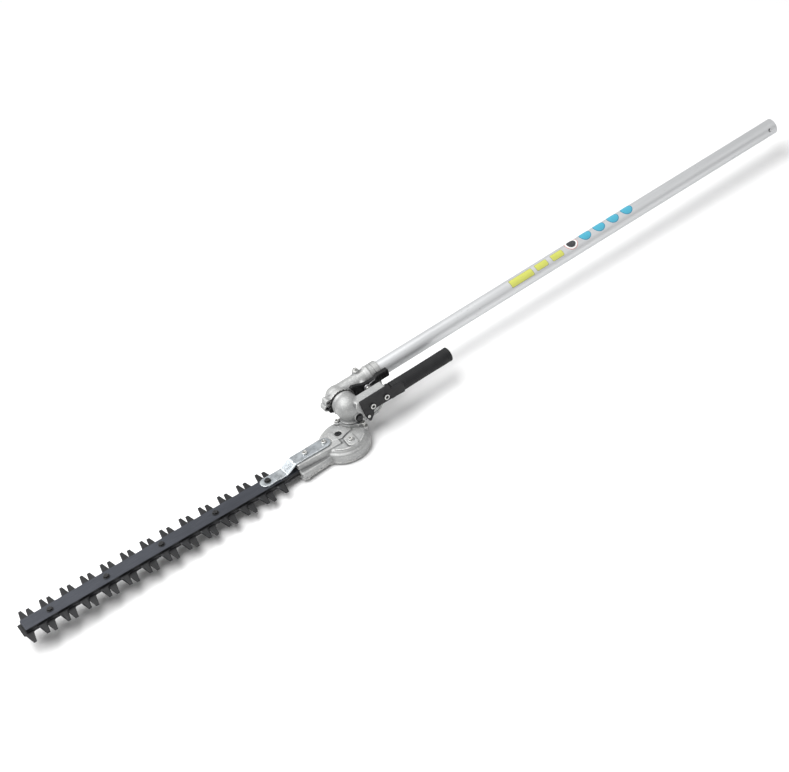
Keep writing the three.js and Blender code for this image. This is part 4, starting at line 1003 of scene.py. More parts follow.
def build_cutter_case():
    """The upper casting: a round gear chamber, a nose with a ridge on it, and pads for its screws."""
    pad = [(-34.6, -68), (-17.1, -62.3), (-19.1, -94.8), (-36.6, -90.3)]
    step = [(-12, -56), (-17, -57), (-27, -60.4), (-34.6, -64), (-43, -59.5), (-50, -57), (-64, -57),
            (-64, -20), (-12, -20)]
    disc = tube(2, 27, CASE_TOP - 6, RIDGE_TOP, (CRANK_X - 4, BLADE_Y + 4), 1.0)
    behind_step = slab(2, rounded(step, [1, 3, 4, 6, 6, 4, 1, 1, 1]), CASE_TOP - 6, RIDGE_TOP + 5, 0.3)
    plateau = overlap(disc, behind_step, 0.8)

    def skirt(p):
        """The round body: an upright wall with a sloped shoulder above it."""
        wall = tube(2, CUTTER_CASE_RADIUS, CASE_SPLIT - 5, FLANGE_TOP + 4.5, CASE_CENTRE, 3.5)(p)
        shoulder = tube(2, CUTTER_CASE_RADIUS + 0.2, FLANGE_TOP - 2, CASE_TOP, CASE_CENTRE, 2.4,
                        CUTTER_CASE_RADIUS - 6)(p)
        return join(wall, shoulder, 3.0)

    def arc_rib(p):
        """A low curved rib on the shoulder, below the screw pad."""
        outer = tube(2, 35.4, CASE_TOP - 3, CASE_TOP + 1.4, CASE_CENTRE, 0.8)(p)
        band = np.maximum(outer, 32.6 - np.hypot(p[0] - CASE_CENTRE[0], p[1] - CASE_CENTRE[1]))
        return both(band, p[1] + 78, 1.0)

    shapes = [
        skirt,
        slab(2, rounded(nose_plan(NOSE_HALF), [6, 6, 4, 4]), CASE_SPLIT - 5, FLANGE_TOP, 2.2),
        slab(2, rounded(nose_plan(RIDGE_HALF), 3), FLANGE_TOP - 3, RIDGE_TOP, 1.8),
        plateau,
        tube(2, 18, CASE_TOP - 4, CASE_TOP, (0, ARM_Y), 0.6),
        *[tube(2, 6.2, FLANGE_TOP, CASE_TOP, at, 0.5) for at in NECK_SCREWS],
    ]
    raised = [
        arc_rib,
        slab(2, rounded(pad, [3, 3, 5, 5]), FLANGE_TOP, -26.3, 1.1),
        tube(2, 5.6, RIDGE_TOP - 8, COVER_SCREW_SEAT, COVER_SCREW, 0.5),
    ]
    neck = (0, ARM_Y)
    blade_room = BAR_WIDTH / 2 + 1.6
    blade_room_top = BLADE_PLANE + BLADE_THICKNESS + 0.7
    bar_room = BAR_WIDTH / 2 + GAP
    trims = [
        plane(2, CASE_SPLIT, -1),
        tube(2, 18.4, CASE_TOP, -18, neck, 0.2),
        *[web(neck, at, 12.4, 5.4, CASE_TOP, -18, 0.2) for at in NECK_SCREWS],
        slab(2, rounded(rectangle(-126, -50, 10.9), 0.5), RIDGE_TOP, RIDGE_TOP + 8, 0.1),
    ]
    trims += [tube(2, 6.4, CASE_TOP, -18, at, 0.2) for at in NECK_SCREWS]
    soft = merged(shapes, 2.6)
    body = carved(lambda p: join(soft(p), merged(raised, 0.8)(p), 1.2), trims, 0.4)
    cuts = [
        tube(2, CHAMBER_RADIUS - 1, CASE_SPLIT - 3, -35, CASE_CENTRE, 1.0),
        tube(2, 11.4, -60, CASE_TOP + 4, (0, ARM_Y), 0.2),
        block([NOSE_END - 6, BLADE_Y - blade_room, CASE_SPLIT - 4],
              [CRANK_X, BLADE_Y + blade_room, blade_room_top], 0.1),
        block([NOSE_END - 6, BLADE_Y - bar_room, CASE_SPLIT - 4],
              [BAR_ROOT + GAP, BLADE_Y + bar_room, BAR_TOP + GAP], 0.1),
        tube(2, 5 + GAP, -40, -33.6, CRANK, 0.2),
        tube(2, 4.4 + GAP, -36, -20, GREASE_PLUG, 0.2),
        tube(2, 6, -31, -20, GREASE_PLUG, 0.3),
        tube(2, 2.4 + GAP, -45, -20, COVER_SCREW, 0.2),
    ]
    cuts += [tube(2, 2 + GAP, -36, -20, at, 0.2) for at in NECK_SCREWS]
    cuts += [tube(2, 2.6 + GAP, -60, -20, (x, BLADE_Y), 0.2) for x in STRIP_SCREWS]
    cuts += [tube(2, 1.9 + GAP, -60, -44, at, 0.2) for at in COVER_BOLTS]
    whole = carved(body, cuts, 0.4)
    field_piece("cutter_case_casting", whole, (NOSE_END - 1, -101, CASE_SPLIT), (15, -12, -25), 0.8, "arm",
                "cutter_case", "casting", cutter=True)


def build_case_lid():
    """The flat lid under the cutter case, with a turned groove and a shallow panel on its face."""
    nose = rounded(nose_plan(NOSE_HALF), [6, 6, 4, 4])
    lid = merged([tube(2, CUTTER_CASE_RADIUS, CASE_BOTTOM, CASE_SPLIT + 2, CASE_CENTRE, 1.0),
                  slab(2, nose, CASE_BOTTOM, CASE_SPLIT + 2, 1.0)], 3.0)
    groove = carved(tube(2, 33, CASE_BOTTOM - 3, CASE_BOTTOM + 0.7, CASE_CENTRE, 0.3),
                    [tube(2, 30.5, CASE_BOTTOM - 6, -40, CASE_CENTRE, 0.3)], 0.3)
    lid_cuts = [plane(2, CASE_SPLIT - GAP, 1), plane(2, CASE_BOTTOM, -1), groove,
                tube(2, 5 + GAP, CASE_BOTTOM + 1.2, -40, CRANK, 0.2),
                slab(2, rounded([(-74, -66), (-74, -44), (-114, -46), (-114, -64)], 4), CASE_BOTTOM - 3,
                     CASE_BOTTOM + 0.8, 0.4)]
    lid_cuts += [tube(2, 2.6 + GAP, -60, -20, (x, BLADE_Y), 0.2) for x in STRIP_SCREWS]
    lid_cuts += [tube(2, 1.9 + GAP, -60, -44, at, 0.2) for at in COVER_BOLTS]
    field_piece("case_lid_casting", carved(lid, lid_cuts, 0.35), (NOSE_END - 1, -101, CASE_BOTTOM),
                (15, -13, CASE_SPLIT), 0.8, "arm", "case_cover", "casting", cutter=True)


def build_grease_plug():
    """A moulded plug with a hexagon socket, in the hole over the crank."""
    head = tube(2, 5.6, -30.6, -28.6, GREASE_PLUG, 0.5)
    shank = tube(2, 4.4, -33.2, -30, GREASE_PLUG, 0.3)
    plug = carved(merged([head, shank], 0), [hexagon(2, 2.1, -29.8, -26, GREASE_PLUG)], 0.2)
    x, y = GREASE_PLUG
    field_piece("plug_moulding", plug, (x - 6, y - 6, -33.2), (x + 6, y + 6, -28.6), 0.3, "arm",
                "grease_plug", "black_plastic", cutter=True)


# ---------------------------------------------------------------- strip that carries the guide bar
def build_strip():
    """The bent zinc-plated strip from the cutter case's ridge down to the guide bar."""
    high = RIDGE_TOP + GAP
    low = BAR_TOP + GAP
    start = -52.0
    side = rounded([(start, high), (start, high + STRIP_THICKNESS), (-123, high + STRIP_THICKNESS),
                    (-141, low + STRIP_THICKNESS), (STRIP_END, low + STRIP_THICKNESS), (STRIP_END, low),
                    (-140, low), (-122, high)], [0.3, 0.3, 7, 4, 0.3, 0.3, 7, 4], 6)
    half = STRIP_WIDTH / 2
    plan = rounded(rectangle(STRIP_END, start, half), half - 0.05, 12)
    profile = slab(1, side, BLADE_Y - half - 2, BLADE_Y + half + 2, 0.1)
    footprint = slab(2, plan, -50, -20, 0.1)
    holes = [tube(2, BOLT_RADIUS + GAP, -50, -20, (x, BLADE_Y), 0.1) for x in [*STRIP_SCREWS, BAR_BOLTS[0]]]
    body = carved(overlap(profile, footprint, 0.55), holes, 0.3)
    field_piece("strip_pressing", body, (STRIP_END, BLADE_Y - half, low),
                (start, BLADE_Y + half, high + STRIP_THICKNESS), 0.55, "arm", "mounting_strip",
                "zinc_plate", cutter=True)


# ---------------------------------------------------------------- fasteners
def threaded(radius, start, end, pitch=0.8, depth=0.18):
    """A shank along Z with a helical thread."""
    body = tube(2, radius, start, end, rounding=0.4)

    def distance(p):
        turn = np.arctan2(p[1], p[0]) / (2 * math.pi)
        wave = np.abs((p[2] / pitch - turn) % 1 - 0.5) * 2
        return body(p) + depth * wave * np.clip((end - 1.5 - p[2]) / 0.5, 0, 1)
    return distance


def fastener_field(style, radius, height, shank_radius, shank_length):
    """A screw with its seat at z = 0 and its head above; style names the drive."""
    shank = threaded(shank_radius, -shank_length, 0.3)
    if style == "hex":
        body = hexagon(2, radius * math.cos(math.pi / 6), 0, height, rounding=0.12)
        turned = tube(2, radius * 1.02, -1, height, rounding=0.1)
        chamfer = tube(2, radius * 1.16 + height, -1, height, (0, 0), 0.1, radius * 0.90)
        head = overlap(overlap(body, turned, 0.1), chamfer, 0.15)
        washer = tube(2, radius * 1.25, 0, height * 0.25, rounding=0.25)
        dish = ball(radius * 1.6, (0, 0, height + radius * 1.6 - 0.22))
        return carved(merged([head, washer, shank], 0), [dish], 0.1)
    if style == "socket":
        cap = tube(2, radius, 0, height, rounding=0.45)

        def head(p):
            angle = np.arctan2(p[1], p[0])
            knurl = np.clip((height - 0.7 - p[2]) / 0.2, 0, 1) * np.clip((p[2] - 0.3) / 0.2, 0, 1)
            return cap(p) + 0.07 * (1 + np.cos(angle * 32)) * knurl
        recess = hexagon(2, radius * 0.46, height * 0.35, height + 2)
        lead = tube(2, radius * 0.40, height - 0.5, height + 0.1, (0, 0), 0.05, radius * 0.58)
        return carved(merged([head, shank], 0), [recess, lead], 0.12)
    crown = ball(radius * 2.2, (0, 0, height - radius * 2.2))
    domed = overlap(tube(2, radius, 0, height, rounding=0.5), crown, 0.3)
    slot = block([-radius * 1.3, -0.6, height * 0.55], [radius * 1.3, 0.6, height + 2], 0.05)
    return carved(merged([domed, shank], 0), [slot], 0.15)


FRONT = (0, -1, 0)
BACK = (0, 1, 0)
UP = (0, 0, 1)
DOWN = (0, 0, -1)
FASTENER_STEP = 0.26
templates = {}                           # the mesh of each size of fastener that has been made


def place_fastener(name, node, sizes, at, direction, twist, body="arm", slot="bright_fastener", cutter=False,
                   material=None):
    """One fastener from its template; sizes are style, head radius and height, shank radius and length."""
    if sizes not in templates:
        reach = sizes[1] * 1.3 + 0.2
        templates[sizes] = skin(fastener_field(*sizes), (-reach, -reach, -sizes[4]),
                                (reach, reach, sizes[2]), FASTENER_STEP)
    points, quads, normals, *marks = templates[sizes]
    turn = Vector(UP).rotation_difference(Vector(direction)).to_matrix() @ Matrix.Rotation(twist, 3, "Z")
    spin = np.array(turn).T
    thing = add_mesh(name, points @ spin + np.array(at), quads, material or SLOT_MATERIALS[slot],
                     (normals @ spin, *marks), cutter)
    belongs(thing, body, node)


def build_fasteners():
    """Every screw and bolt; a socket screw's sizes are named for what it holds."""
    socket = {"neck": ("socket", 3.8, 2.6, 2.0, 9.0), "lid": ("socket", 3.6, 2.2, 1.9, 8.0),
              "strip": ("socket", 4.3, 2.8, 2.6, 27.5), "pad": ("socket", 4.0, 2.8, 2.4, 9.0),
              "clamp": ("socket", 4.6, 4.2, 2.8, 22.0), "pin": ("socket", 2.6, 1.4, 1.6, 3.6)}
    for i, ((x, z), slot) in enumerate(zip(LOBES, ("bright_fastener", "dark_fastener"))):
        place_fastener(f"lobe_screw_{i + 1}", f"flange_bolt_{i + 1}", ("hex", 3.6, 2.6, 2.2, 11.0),
                       (x, GAP - LOBE_BACK, z), BACK, 0.4 + i, "pole_side", slot)
    place_fastener("clamp_screw", "clamp_bolt", socket["clamp"],
                   (CLAMP_BOLT[0], -CLAMP_HALF - GAP, CLAMP_BOLT[1]), FRONT, 0.3, "pole_side")
    place_fastener("locating_screw", "pole_locating_bolt", ("hex", 3.4, 3.2, 2.5, 6.0),
                   (*STUD, STUD_SEAT + GAP), UP, 0.5, "pole_side")
    place_fastener("boss_screw", "housing_bolt", ("hex", 5.4, 3.8, 2.8, 10.0),
                   (BOLT_BOSS[0], BOLT_BOSS_FACE - GAP, BOLT_BOSS[1]), FRONT, 0.2, slot="dark_fastener")
    for i, at in enumerate(NECK_SCREWS):
        place_fastener(f"neck_cap_screw_{i + 1}", f"neck_screw_{i + 1}", socket["neck"],
                       (*at, FLANGE_HIGH + GAP), UP, 0.7 * i, cutter=True)
    face = BRACKET_FACE - GAP
    for i, (x, z) in enumerate(BRACKET_SCREWS):
        node = f"bracket_screw_{i + 1}"
        bore = tube(1, 2.9, -75, -50, (x, z), 0.2)
        collar = carved(tube(1, 4.5, face - 2.6, face, (x, z), 0.5), [bore], 0.3)
        field_piece(f"bracket_collar_{i + 1}", collar, (x - 4.6, face - 2.6, z - 4.6),
                    (x + 4.6, face, z + 4.6), 0.3, "arm", node, "bright_fastener")
        place_fastener(f"bracket_slot_screw_{i + 1}", node, ("slot", 2.7, 1.9, 2.0, 12.0), (x, face, z),
                       FRONT, 0.9 + 0.8 * i, material=DARK)
    place_fastener("bracket_pin", "bracket_rivet", socket["pin"], (BRACKET_PIN[0], face, BRACKET_PIN[1]),
                   FRONT, 0.4)
    for i, at in enumerate(COVER_BOLTS):
        place_fastener(f"lid_screw_{i + 1}", f"cover_bolt_{i + 1}", socket["lid"],
                       (*at, CASE_BOTTOM - GAP), DOWN, 0.5 * i, cutter=True)
    place_fastener("pad_screw", "case_screw", socket["pad"], (*COVER_SCREW, COVER_SCREW_SEAT + GAP), UP, 0.2,
                   cutter=True)
    seat = RIDGE_TOP + 2 * GAP + STRIP_THICKNESS
    for i, x in enumerate(STRIP_SCREWS):
        place_fastener(f"strip_cap_screw_{i + 1}", f"strip_screw_{i + 1}", socket["strip"],
                       (x, BLADE_Y, seat), UP, 0.6 * i, cutter=True)
    build_bar_bolts()
    build_lever_pin()


def build_bar_bolts():
    """The guide bar's hexagon bolts, with a nut below each."""
    stack = BAR_TOP - (BLADE_PLANE - BLADE_THICKNESS) + 0.8
    nut_top = BLADE_PLANE - BLADE_THICKNESS - 0.6
    nut_low = nut_top - 3.4
    for i, x in enumerate(BAR_BOLTS):
        lift = 2 * GAP + STRIP_THICKNESS if i == 0 else GAP
        place_fastener(f"bar_hex_bolt_{i + 1}", f"bar_bolt_{i + 1}",
                       ("hex", 4.4, 3.4, 2.8, round(lift + stack + 4, 2)), (x, BLADE_Y, BAR_TOP + lift), UP,
                       0.35 + 1.1 * i, slot="dark_fastener", cutter=True)
        at = (x, BLADE_Y)
        sides = hexagon(2, 4.5, nut_low, nut_top, at, 0.3)
        chamfer = tube(2, 4.8, nut_low, nut_top + 1, at, 0.2, 8.5)
        bore = tube(2, BOLT_RADIUS + GAP, -60, -40, at, 0.1)
        field_piece(f"bar_hex_nut_{i + 1}", carved(overlap(sides, chamfer, 0.15), [bore], 0.3),
                    (x - 5.3, BLADE_Y - 5.3, nut_low), (x + 5.3, BLADE_Y + 5.3, nut_top), 0.3, "arm",
                    f"bar_nut_{i + 1}", "dark_fastener", cutter=True)


def build_lever_pin():
    """A turned pin with a dished head, which the lock lever rocks on."""
    x, z = LEVER_PIVOT
    face = LEVER_FRONT - GAP - 4
    back = -14.8
    dimple = tube(1, 1.1, face - 3, face - 1.8, LEVER_PIVOT, 0.3)
    head = carved(tube(1, 4, face - 2.4, face, LEVER_PIVOT, 0.6), [dimple], 0.3)
    pin = merged([tube(1, LEVER_PIN_RADIUS, face, back, LEVER_PIVOT, 0.3), head], 0)
    field_piece("lever_pin_turned", pin, (x - 4.2, face - 2.4, z - 4.2), (x + 4.2, back, z + 4.2), 0.3,
                "pole_side", "lever_pin", "bright_fastener")


# ---------------------------------------------------------------- blades and guide bar
def inset(points, amounts):
    """Moves each corner of an anticlockwise outline inward by its own amount."""
    count = len(points)
    moved = []
    for i in range(count):
        before, here, after = (np.array(points[(i + k) % count], float) for k in (-1, 0, 1))
        arriving = (here - before) / np.linalg.norm(here - before)
        leaving = (after - here) / np.linalg.norm(after - here)
        inward = np.array([-(arriving[1] + leaving[1]), arriving[0] + leaving[0]])
        inward /= max(np.linalg.norm(inward), 1e-9)
        share = max(float(inward @ np.array([-arriving[1], arriving[0]])), 0.6)
        moved.append(tuple(here + inward * amounts[i] / share))
    return moved


def plate_mesh(outer, holes, low, high, top, bottom):
    """A flat plate with bevelled rims: top and bottom are (depth, inset at each corner, inset of holes)."""
    loops = [outer, *holes]
    levels = []
    for level, (depth, amounts, hole_amount), sign in ((high, top, -1), (low, bottom, 1)):
        rims = [inset(outer, amounts)] + [inset(hole, [-hole_amount] * len(hole)) for hole in holes]
        depths = [depth] + [hole_amount] * len(holes)
        levels.append([(rims, [level] * len(loops)), (loops, [level + sign * d for d in depths])])
    order = [levels[0][0], levels[0][1], levels[1][1], levels[1][0]]
    points = []
    starts = []
    for shapes, heights in order:
        starts.append([])
        for shape, height in zip(shapes, heights):
            starts[-1].append(len(points))
            points += [(x, y, height) for x, y in shape]
    faces = []
    bevels = []
    for layer in range(3):
        for number, loop in enumerate(loops):
            above = starts[layer][number]
            below = starts[layer + 1][number]
            count = len(loop)
            for i in range(count):
                j = (i + 1) % count
                face = [above + i, below + i, below + j, above + j]
                faces.append(face if number == 0 else face[::-1])
                bevels.append((1, 2, 1)[layer] if number == 0 else 2)
    for layer, flip in ((0, False), (3, True)):
        shapes = order[layer][0]
        flat = [[Vector((x, y, 0)) for x, y in shape] for shape in shapes]
        numbers = [starts[layer][n] + i for n, shape in enumerate(shapes) for i in range(len(shape))]
        for triangle in tessellate_polygon(flat):
            a, b, c = (numbers[i] for i in triangle)
            pa, pb, pc = (np.array(points[i][:2]) for i in (a, b, c))
            area = (pb[0] - pa[0]) * (pc[1] - pa[1]) - (pb[1] - pa[1]) * (pc[0] - pa[0])
            if abs(area) < 1e-9:
                continue
            faces.append([a, b, c] if (area > 0) != flip else [a, c, b])
            bevels.append(0)
    return points, faces, bevels


def anticlockwise(points):
    area = sum(a[0] * b[1] - b[0] * a[1] for a, b in zip(points, points[1:] + points[:1]))
    return points if area > 0 else points[::-1]


def plate_piece(name, outer, holes, low, high, top, bottom, materials, body, node):
    holes = [anticlockwise(hole) for hole in holes]
    points, faces, bevels = plate_mesh(anticlockwise(outer), holes, low, high, top, bottom)
    thing = add_mesh(name, points, faces, materials, cutter=True)
    thing.data.polygons.foreach_set("material_index", np.array(bevels, np.int32))
    belongs(thing, body, node)


def blade_outline(side):
    """One blade, drawn centred: side is +1 for the upper blade and -1 for the lower, turned over."""
    half = SPINE_WIDTH / 2
    reach = BLADE_WIDTH / 2
    tooth = [(-9.2, half, 2.5), (-6.6, half + 2.6, 2.0), (-2.6, reach, 0.5), (2.6, reach, 0.5),
             (6.6, half + 2.6, 2.0), (9.2, half, 2.5)]
    corners = []

    def add_tooth(x, sign, forward):
        for dx, dy, radius in (tooth if forward else tooth[::-1]):
            corners.append((x + dx, BLADE_Y + sign * dy, radius))

    first_minus = FIRST_TOOTH + side * TOOTH_PITCH / 2
    tail = 12.0
    for i in range(TEETH_PER_SIDE):
        add_tooth(FIRST_TOOTH + TOOTH_PITCH * i, 1, True)
    neck = [(-128, tail, 3), (CRANK_X - YOKE_ROOT, tail, 2), (CRANK_X - YOKE_END, YOKE_HALF, 2),
            (CRANK_X + YOKE_END, YOKE_HALF, 3)]
    corners.append((-150, BLADE_Y + half, 3))
    corners += [(x, BLADE_Y + y, radius) for x, y, radius in neck]
    corners += [(x, BLADE_Y - y, radius) for x, y, radius in neck[::-1]]
    corners.append((-140, BLADE_Y - half, 3))
    for i in range(TEETH_PER_SIDE - 1, -1, -1):
        add_tooth(first_minus + TOOTH_PITCH * i, -1, False)
    end = min(first_minus, FIRST_TOOTH) - 9.2
    corners.append((end, BLADE_Y - side * half, 1.5))
    return rounded([(x, y) for x, y, _ in corners], [radius for _, _, radius in corners], 3)


def circle(radius, count=48, centre=(0, 0)):
    angles = [2 * math.pi * i / count for i in range(count)]
    return [(centre[0] + radius * math.cos(a), centre[1] + radius * math.sin(a)) for a in angles]


def slotted_hole(x, radius, travel, steps=8):
    """A slot along X that lets a blade slide past a bolt."""
    points = []
    for side, start in ((1, -90), (-1, 90)):
        for i in range(steps + 1):
            angle = math.radians(start + 180 * i / steps)
            points.append((x + side * travel + radius * math.cos(angle), BLADE_Y + radius * math.sin(angle)))
    return points


def ground_width(y):
    """How wide the ground bevel is at a distance from the blade's middle line."""
    out = abs(y - BLADE_Y)
    return float(np.interp(out, [0, 13.6, 16.5, 33, 36], [0.3, 0.3, 2.0, 1.5, 0.5]))


def build_blade(name, side, low, node):
    """A blade at rest, with bolt slots, the crank's yoke and tooth edges ground on its outer face."""
    shift = -side * REST_SHIFT
    outer = anticlockwise([(x + shift, y) for x, y in blade_outline(side)])
    travel = HALF_STROKE + 0.6
    holes = [slotted_hole(x + shift, BOLT_RADIUS + 0.5, travel) for x in [*BAR_BOLTS, *STRIP_SCREWS]]
    slot_x = ECCENTRIC_RADIUS + 1.35
    slot_y = ECCENTRIC_RADIUS + THROW + 1
    yoke = [(-slot_x, -slot_y), (slot_x, -slot_y), (slot_x, slot_y), (-slot_x, slot_y)]
    holes.append(rounded([(CRANK_X + x + shift, BLADE_Y + y) for x, y in yoke], 1.0, 3))
    ground = (1.25, [ground_width(y) for _, y in outer], 0.3)
    plain = (0.2, [0.2] * len(outer), 0.2)
    top, bottom = (ground, plain) if side > 0 else (plain, ground)
    plate_piece(name, outer, holes, low, low + BLADE_THICKNESS, top, bottom, [BLADE, GROUND, BLADE], node,
                node)


def build_bar():
    """The flat guide bar on top of the blades, with eased rims and a hole for each bolt."""
    half = BAR_WIDTH / 2
    outer = rounded(rectangle(BAR_TIP, BAR_ROOT, half), [1, 1, 2.5, 2.5], 5)
    holes = [circle(BOLT_RADIUS + GAP, 40, (x, BLADE_Y)) for x in [*BAR_BOLTS, STRIP_SCREWS[1]]]
    rim = (0.45, [0.45] * len(outer), 0.3)
    # painted shade: the bar's side walls and bolt-hole walls wear the near-black blade finish, darker than
    # its top, as if shaded
    plate_piece("bar_ground", outer, holes, BAR_TOP - BAR_THICKNESS, BAR_TOP, rim, rim, [BAR, BAR, BLADE],
                "arm", "guide_bar")


# ---------------------------------------------------------------- pole, shaft and labels
def build_pole():
    """A thin tube with eased ends and a cleanly drilled hole near its free end."""
    around = 96
    cells = 16                           # along each side of the square patch that the hole is drilled in
    first = 90                           # the ring of points where that patch starts
    turn = 2 * math.pi / around
    middle = math.radians(90 + LOCATING_HOLE["turn"])
    angles = middle + (np.arange(around) - cells / 2) * turn
    hole_x = POLE_REACH - LOCATING_HOLE["inset"]
    half = cells * turn * POLE_RADIUS / 2
    inner = POLE_RADIUS - POLE_WALL
    body = [*np.linspace(POLE_SEAT + 0.5, hole_x - half, first),
            *np.linspace(hole_x - half, hole_x + half, cells + 1)[1:],
            *np.linspace(hole_x + half, POLE_REACH - 0.4, 5)[1:]]
    skins = ([(POLE_SEAT, -0.5), *[(x, 0.0) for x in body], (POLE_REACH, -0.4)],
             [(POLE_SEAT, 0.4), *[(x, 0.0) for x in body], (POLE_REACH, 0.4)])
    points = []
    faces = []
    grids = []
    for radius, stations in zip((POLE_RADIUS, inner), skins):
        grid = np.zeros((len(stations), around), int)
        for i, (x, change) in enumerate(stations):
            for k, angle in enumerate(angles):
                grid[i, k] = len(points)
                points.append((x, (radius + change) * math.cos(angle), (radius + change) * math.sin(angle)))
        grids.append(grid)
    rims = []
    for grid, radius, outward in zip(grids, (POLE_RADIUS, inner), (True, False)):
        for i in range(len(grid) - 1):
            for k in range(around):
                if first <= i < first + cells and k < cells:
                    continue
                face = [grid[i, k], grid[i + 1, k], grid[i + 1, (k + 1) % around], grid[i, (k + 1) % around]]
                faces.append(face if not outward else face[::-1])
        edge = [(first + i, 0) for i in range(cells)]
        edge += [(first + cells, k) for k in range(cells)]
        edge += [(first + cells - i, cells) for i in range(cells)]
        edge += [(first, cells - k) for k in range(cells)]
        loops = [[grid[i, k] for i, k in edge]]
        bore = LOCATING_HOLE["radius"]
        steps = [(0.7, 0.0, bore), (0.4, 0.0, bore), (0.15, 0.0, bore)]
        steps += [(0, 0.0, bore + 0.25), (0, 0.25, bore)] if outward else [(0, 0.0, bore)]
        for share, sunk, size in steps:
            loop = []
            for i, k in edge:
                along = skins[0][i][0] - hole_x
                swing = (k - cells / 2) * turn
                bearing = math.atan2(swing * radius, along)
                rim_along = size * math.cos(bearing)
                rim_swing = math.asin(size * math.sin(bearing) / radius)
                x = hole_x + share * along + (1 - share) * rim_along
                angle = middle + share * swing + (1 - share) * rim_swing
                loop.append(len(points))
                points.append((x, (radius - sunk) * math.cos(angle), (radius - sunk) * math.sin(angle)))
            loops.append(loop)
        for a, b in zip(loops, loops[1:]):
            for i in range(len(edge)):
                j = (i + 1) % len(edge)
                face = [a[i], a[j], b[j], b[i]]
                faces.append(face if not outward else face[::-1])
        rims.append(loops[-1])
    for i in range(len(rims[0])):
        j = (i + 1) % len(rims[0])
        faces.append([rims[0][j], rims[0][i], rims[1][i], rims[1][j]][::-1])
    for row in (0, -1):
        for k in range(around):
            j = (k + 1) % around
            face = [grids[0][row, k], grids[0][row, j], grids[1][row, j], grids[1][row, k]]
            faces.append(face if row == 0 else face[::-1])
    thing = add_mesh("pole_tube", points, faces, POLE)
    face_outward(thing)
    belongs(thing, "pole_side", "pole")


def ring_faces(rings, around):
    """Quads between rings of points that follow one another."""
    return [[i * around + k, i * around + (k + 1) % around, (i + 1) * around + (k + 1) % around,
             (i + 1) * around + k] for i in range(rings - 1) for k in range(around)]


def capped_rings(rings, around):
    """The same, closed by a face at each end."""
    last = (rings - 1) * around
    return [*ring_faces(rings, around), list(range(around))[::-1], [last + k for k in range(around)]]


def build_drive_shaft():
    """A round shaft with six splines cut at the end that the power unit drives."""
    splines = 6
    pitch = 2 * math.pi / splines
    one_spline = [(-0.5, 0), (-0.36, 0), (-0.24, 0), (-0.21, 1), (0.0, 1), (0.21, 1), (0.24, 0), (0.36, 0)]
    profile = [(pitch * (k + share), tooth) for k in range(splines) for share, tooth in one_spline]
    start = POLE_REACH - 30
    end = POLE_REACH - 6
    rings = [(6.5, 3.6, 0), (6.9, 4, 0), *[(200 * i, 4, 0) for i in range(1, 5)], (start - 3, 4, 0),
             (start, 3.7, 0), (start + 0.4, 3.7, 1.0), (end - 0.6, 3.7, 1.0), (end, 3.3, 0.9)]
    points = []
    for x, radius, rise in rings:
        for angle, tooth in profile:
            reach = radius + rise * tooth
            points.append((x, reach * math.cos(angle), reach * math.sin(angle)))
    thing = add_mesh("splined_shaft", points, capped_rings(len(rings), len(profile)), STEEL)
    face_outward(thing)
    belongs(thing, "drive_shaft", "drive_shaft")


def film(name, station, angle, flat, material, layer=1):
    """A thin label wrapped round the pole: flat is its outline, along and round the pole in millimetres."""
    outside = POLE_RADIUS + FILM_LIFT * layer

    def wrap(u, v, radius):
        turn = math.radians(angle) + v / POLE_RADIUS
        return station + u, -radius * math.cos(turn), radius * math.sin(turn)

    count = len(flat)
    middle = FILM_LOOPS * count
    inner = middle - count
    skirt = middle + 1
    points = []
    for n in range(FILM_LOOPS):
        share = 1 - n / FILM_LOOPS
        points += [wrap(share * u, share * v, outside) for u, v in flat]
    points.append(wrap(0, 0, outside))
    points += [wrap(1.002 * u, 1.004 * v, POLE_RADIUS - 0.02) for u, v in flat]
    faces = ring_faces(FILM_LOOPS, count)
    faces += [[inner + i, inner + (i + 1) % count, middle] for i in range(count)]
    faces += [[skirt + i, skirt + (i + 1) % count, (i + 1) % count, i] for i in range(count)]
    belongs(add_mesh(name, points, faces, material), "pole_side")


def patch(length, width, radius=1.5):
    """A rounded rectangle with its long sides divided, so that it can be wrapped."""
    corners = rounded([(-length / 2, -width / 2), (length / 2, -width / 2), (length / 2, width / 2),
                       (-length / 2, width / 2)], radius, 5)
    longest = max(length, width) / 30
    result = []
    for a, b in zip(corners, corners[1:] + corners[:1]):
        parts = max(1, int(math.dist(a, b) / longest))
        result += [(a[0] + (b[0] - a[0]) * i / parts, a[1] + (b[1] - a[1]) * i / parts) for i in range(parts)]
    return result


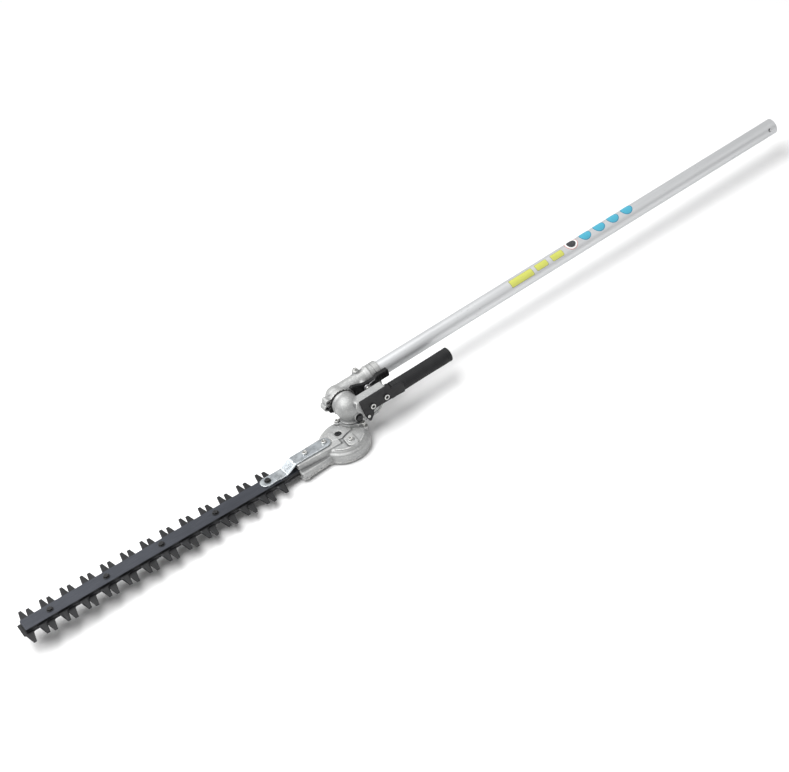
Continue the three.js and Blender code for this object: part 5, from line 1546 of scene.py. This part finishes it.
def build_labels():
    """Plain coloured films, with no words or signs on them."""
    film("ink_panel", 376.5, 58, patch(47.3, 14.4), INK)
    film("yellow_panel", 376.5, 58, patch(46.5, 13.6), YELLOW, 2)
    for i, station in enumerate((419.0, 452.5)):
        film(f"ink_square_{i + 1}", station, 62, patch(24.8, 12.8, 2.9), INK)
        film(f"yellow_square_{i + 1}", station, 62, patch(24, 12, 2.5), YELLOW, 2)
    film("red_disc", 486.5, 85, circle(12.0), RED)
    film("white_disc", 486.5, 85, circle(11.2), PALE, 2)
    film("dark_disc", 486.5, 85, circle(8.2), INK, 3)
    for i in range(4):
        station = 517.0 + 30.2 * i
        film(f"deep_blue_disc_{i + 1}", station, 87, circle(11.0), DEEP_BLUE)
        film(f"blue_disc_{i + 1}", station, 87, circle(9.9), BLUE, 2)


# ---------------------------------------------------------------- lever spring and catch
def wire(path, radius, sides=14):
    """A round wire through the given points, with capped ends."""
    line = [np.array(point, float) for point in path]
    points = []
    side = np.array([0.0, 1.0, 0.0])
    for i, here in enumerate(line):
        ahead = line[min(i + 1, len(line) - 1)] - line[max(i - 1, 0)]
        ahead /= np.linalg.norm(ahead)
        side = side - ahead * (side @ ahead)
        side /= np.linalg.norm(side)
        third = np.cross(ahead, side)
        for k in range(sides):
            angle = 2 * math.pi * k / sides
            points.append(here + radius * (math.cos(angle) * side + math.sin(angle) * third))
    return points, capped_rings(len(line), sides)


def build_lever_spring():
    """A torsion spring wound on the lever's pin, with its tail laid along the lever."""
    x, z = LEVER_PIVOT
    coil = 4.9
    path = []
    turns = 2.5
    for share in np.linspace(0, 1, 90):
        angle = 2 * math.pi * turns * share
        path.append((x + coil * math.cos(angle), LEVER_FRONT - 0.8 - 2.6 * share, z + coil * math.sin(angle)))
    last = path[-1]
    for share in np.linspace(0, 1, 16)[1:]:
        arch = 5.5 * math.sin(1.9 * share)
        path.append((last[0] + 21.5 * share, last[1] + 1.6 * share, last[2] + arch))
    points, faces = wire(path, 0.55)
    belongs(add_mesh("lever_spring", points, faces, STEEL), "lock_lever")


add_camera()
add_studio()
dress_frame()
build_upper_case()
build_arm()
build_index_plate()
build_handle()
build_lever()
build_lever_spring()
build_cutter_case()
build_case_lid()
build_grease_plug()
build_strip()
build_blade("upper_blade_ground", 1, BLADE_PLANE + 0.1, "upper_blade")
build_blade("lower_blade_ground", -1, BLADE_PLANE - BLADE_THICKNESS - 0.1, "lower_blade")
build_bar()
build_pole()
build_drive_shaft()
build_labels()
build_fasteners()
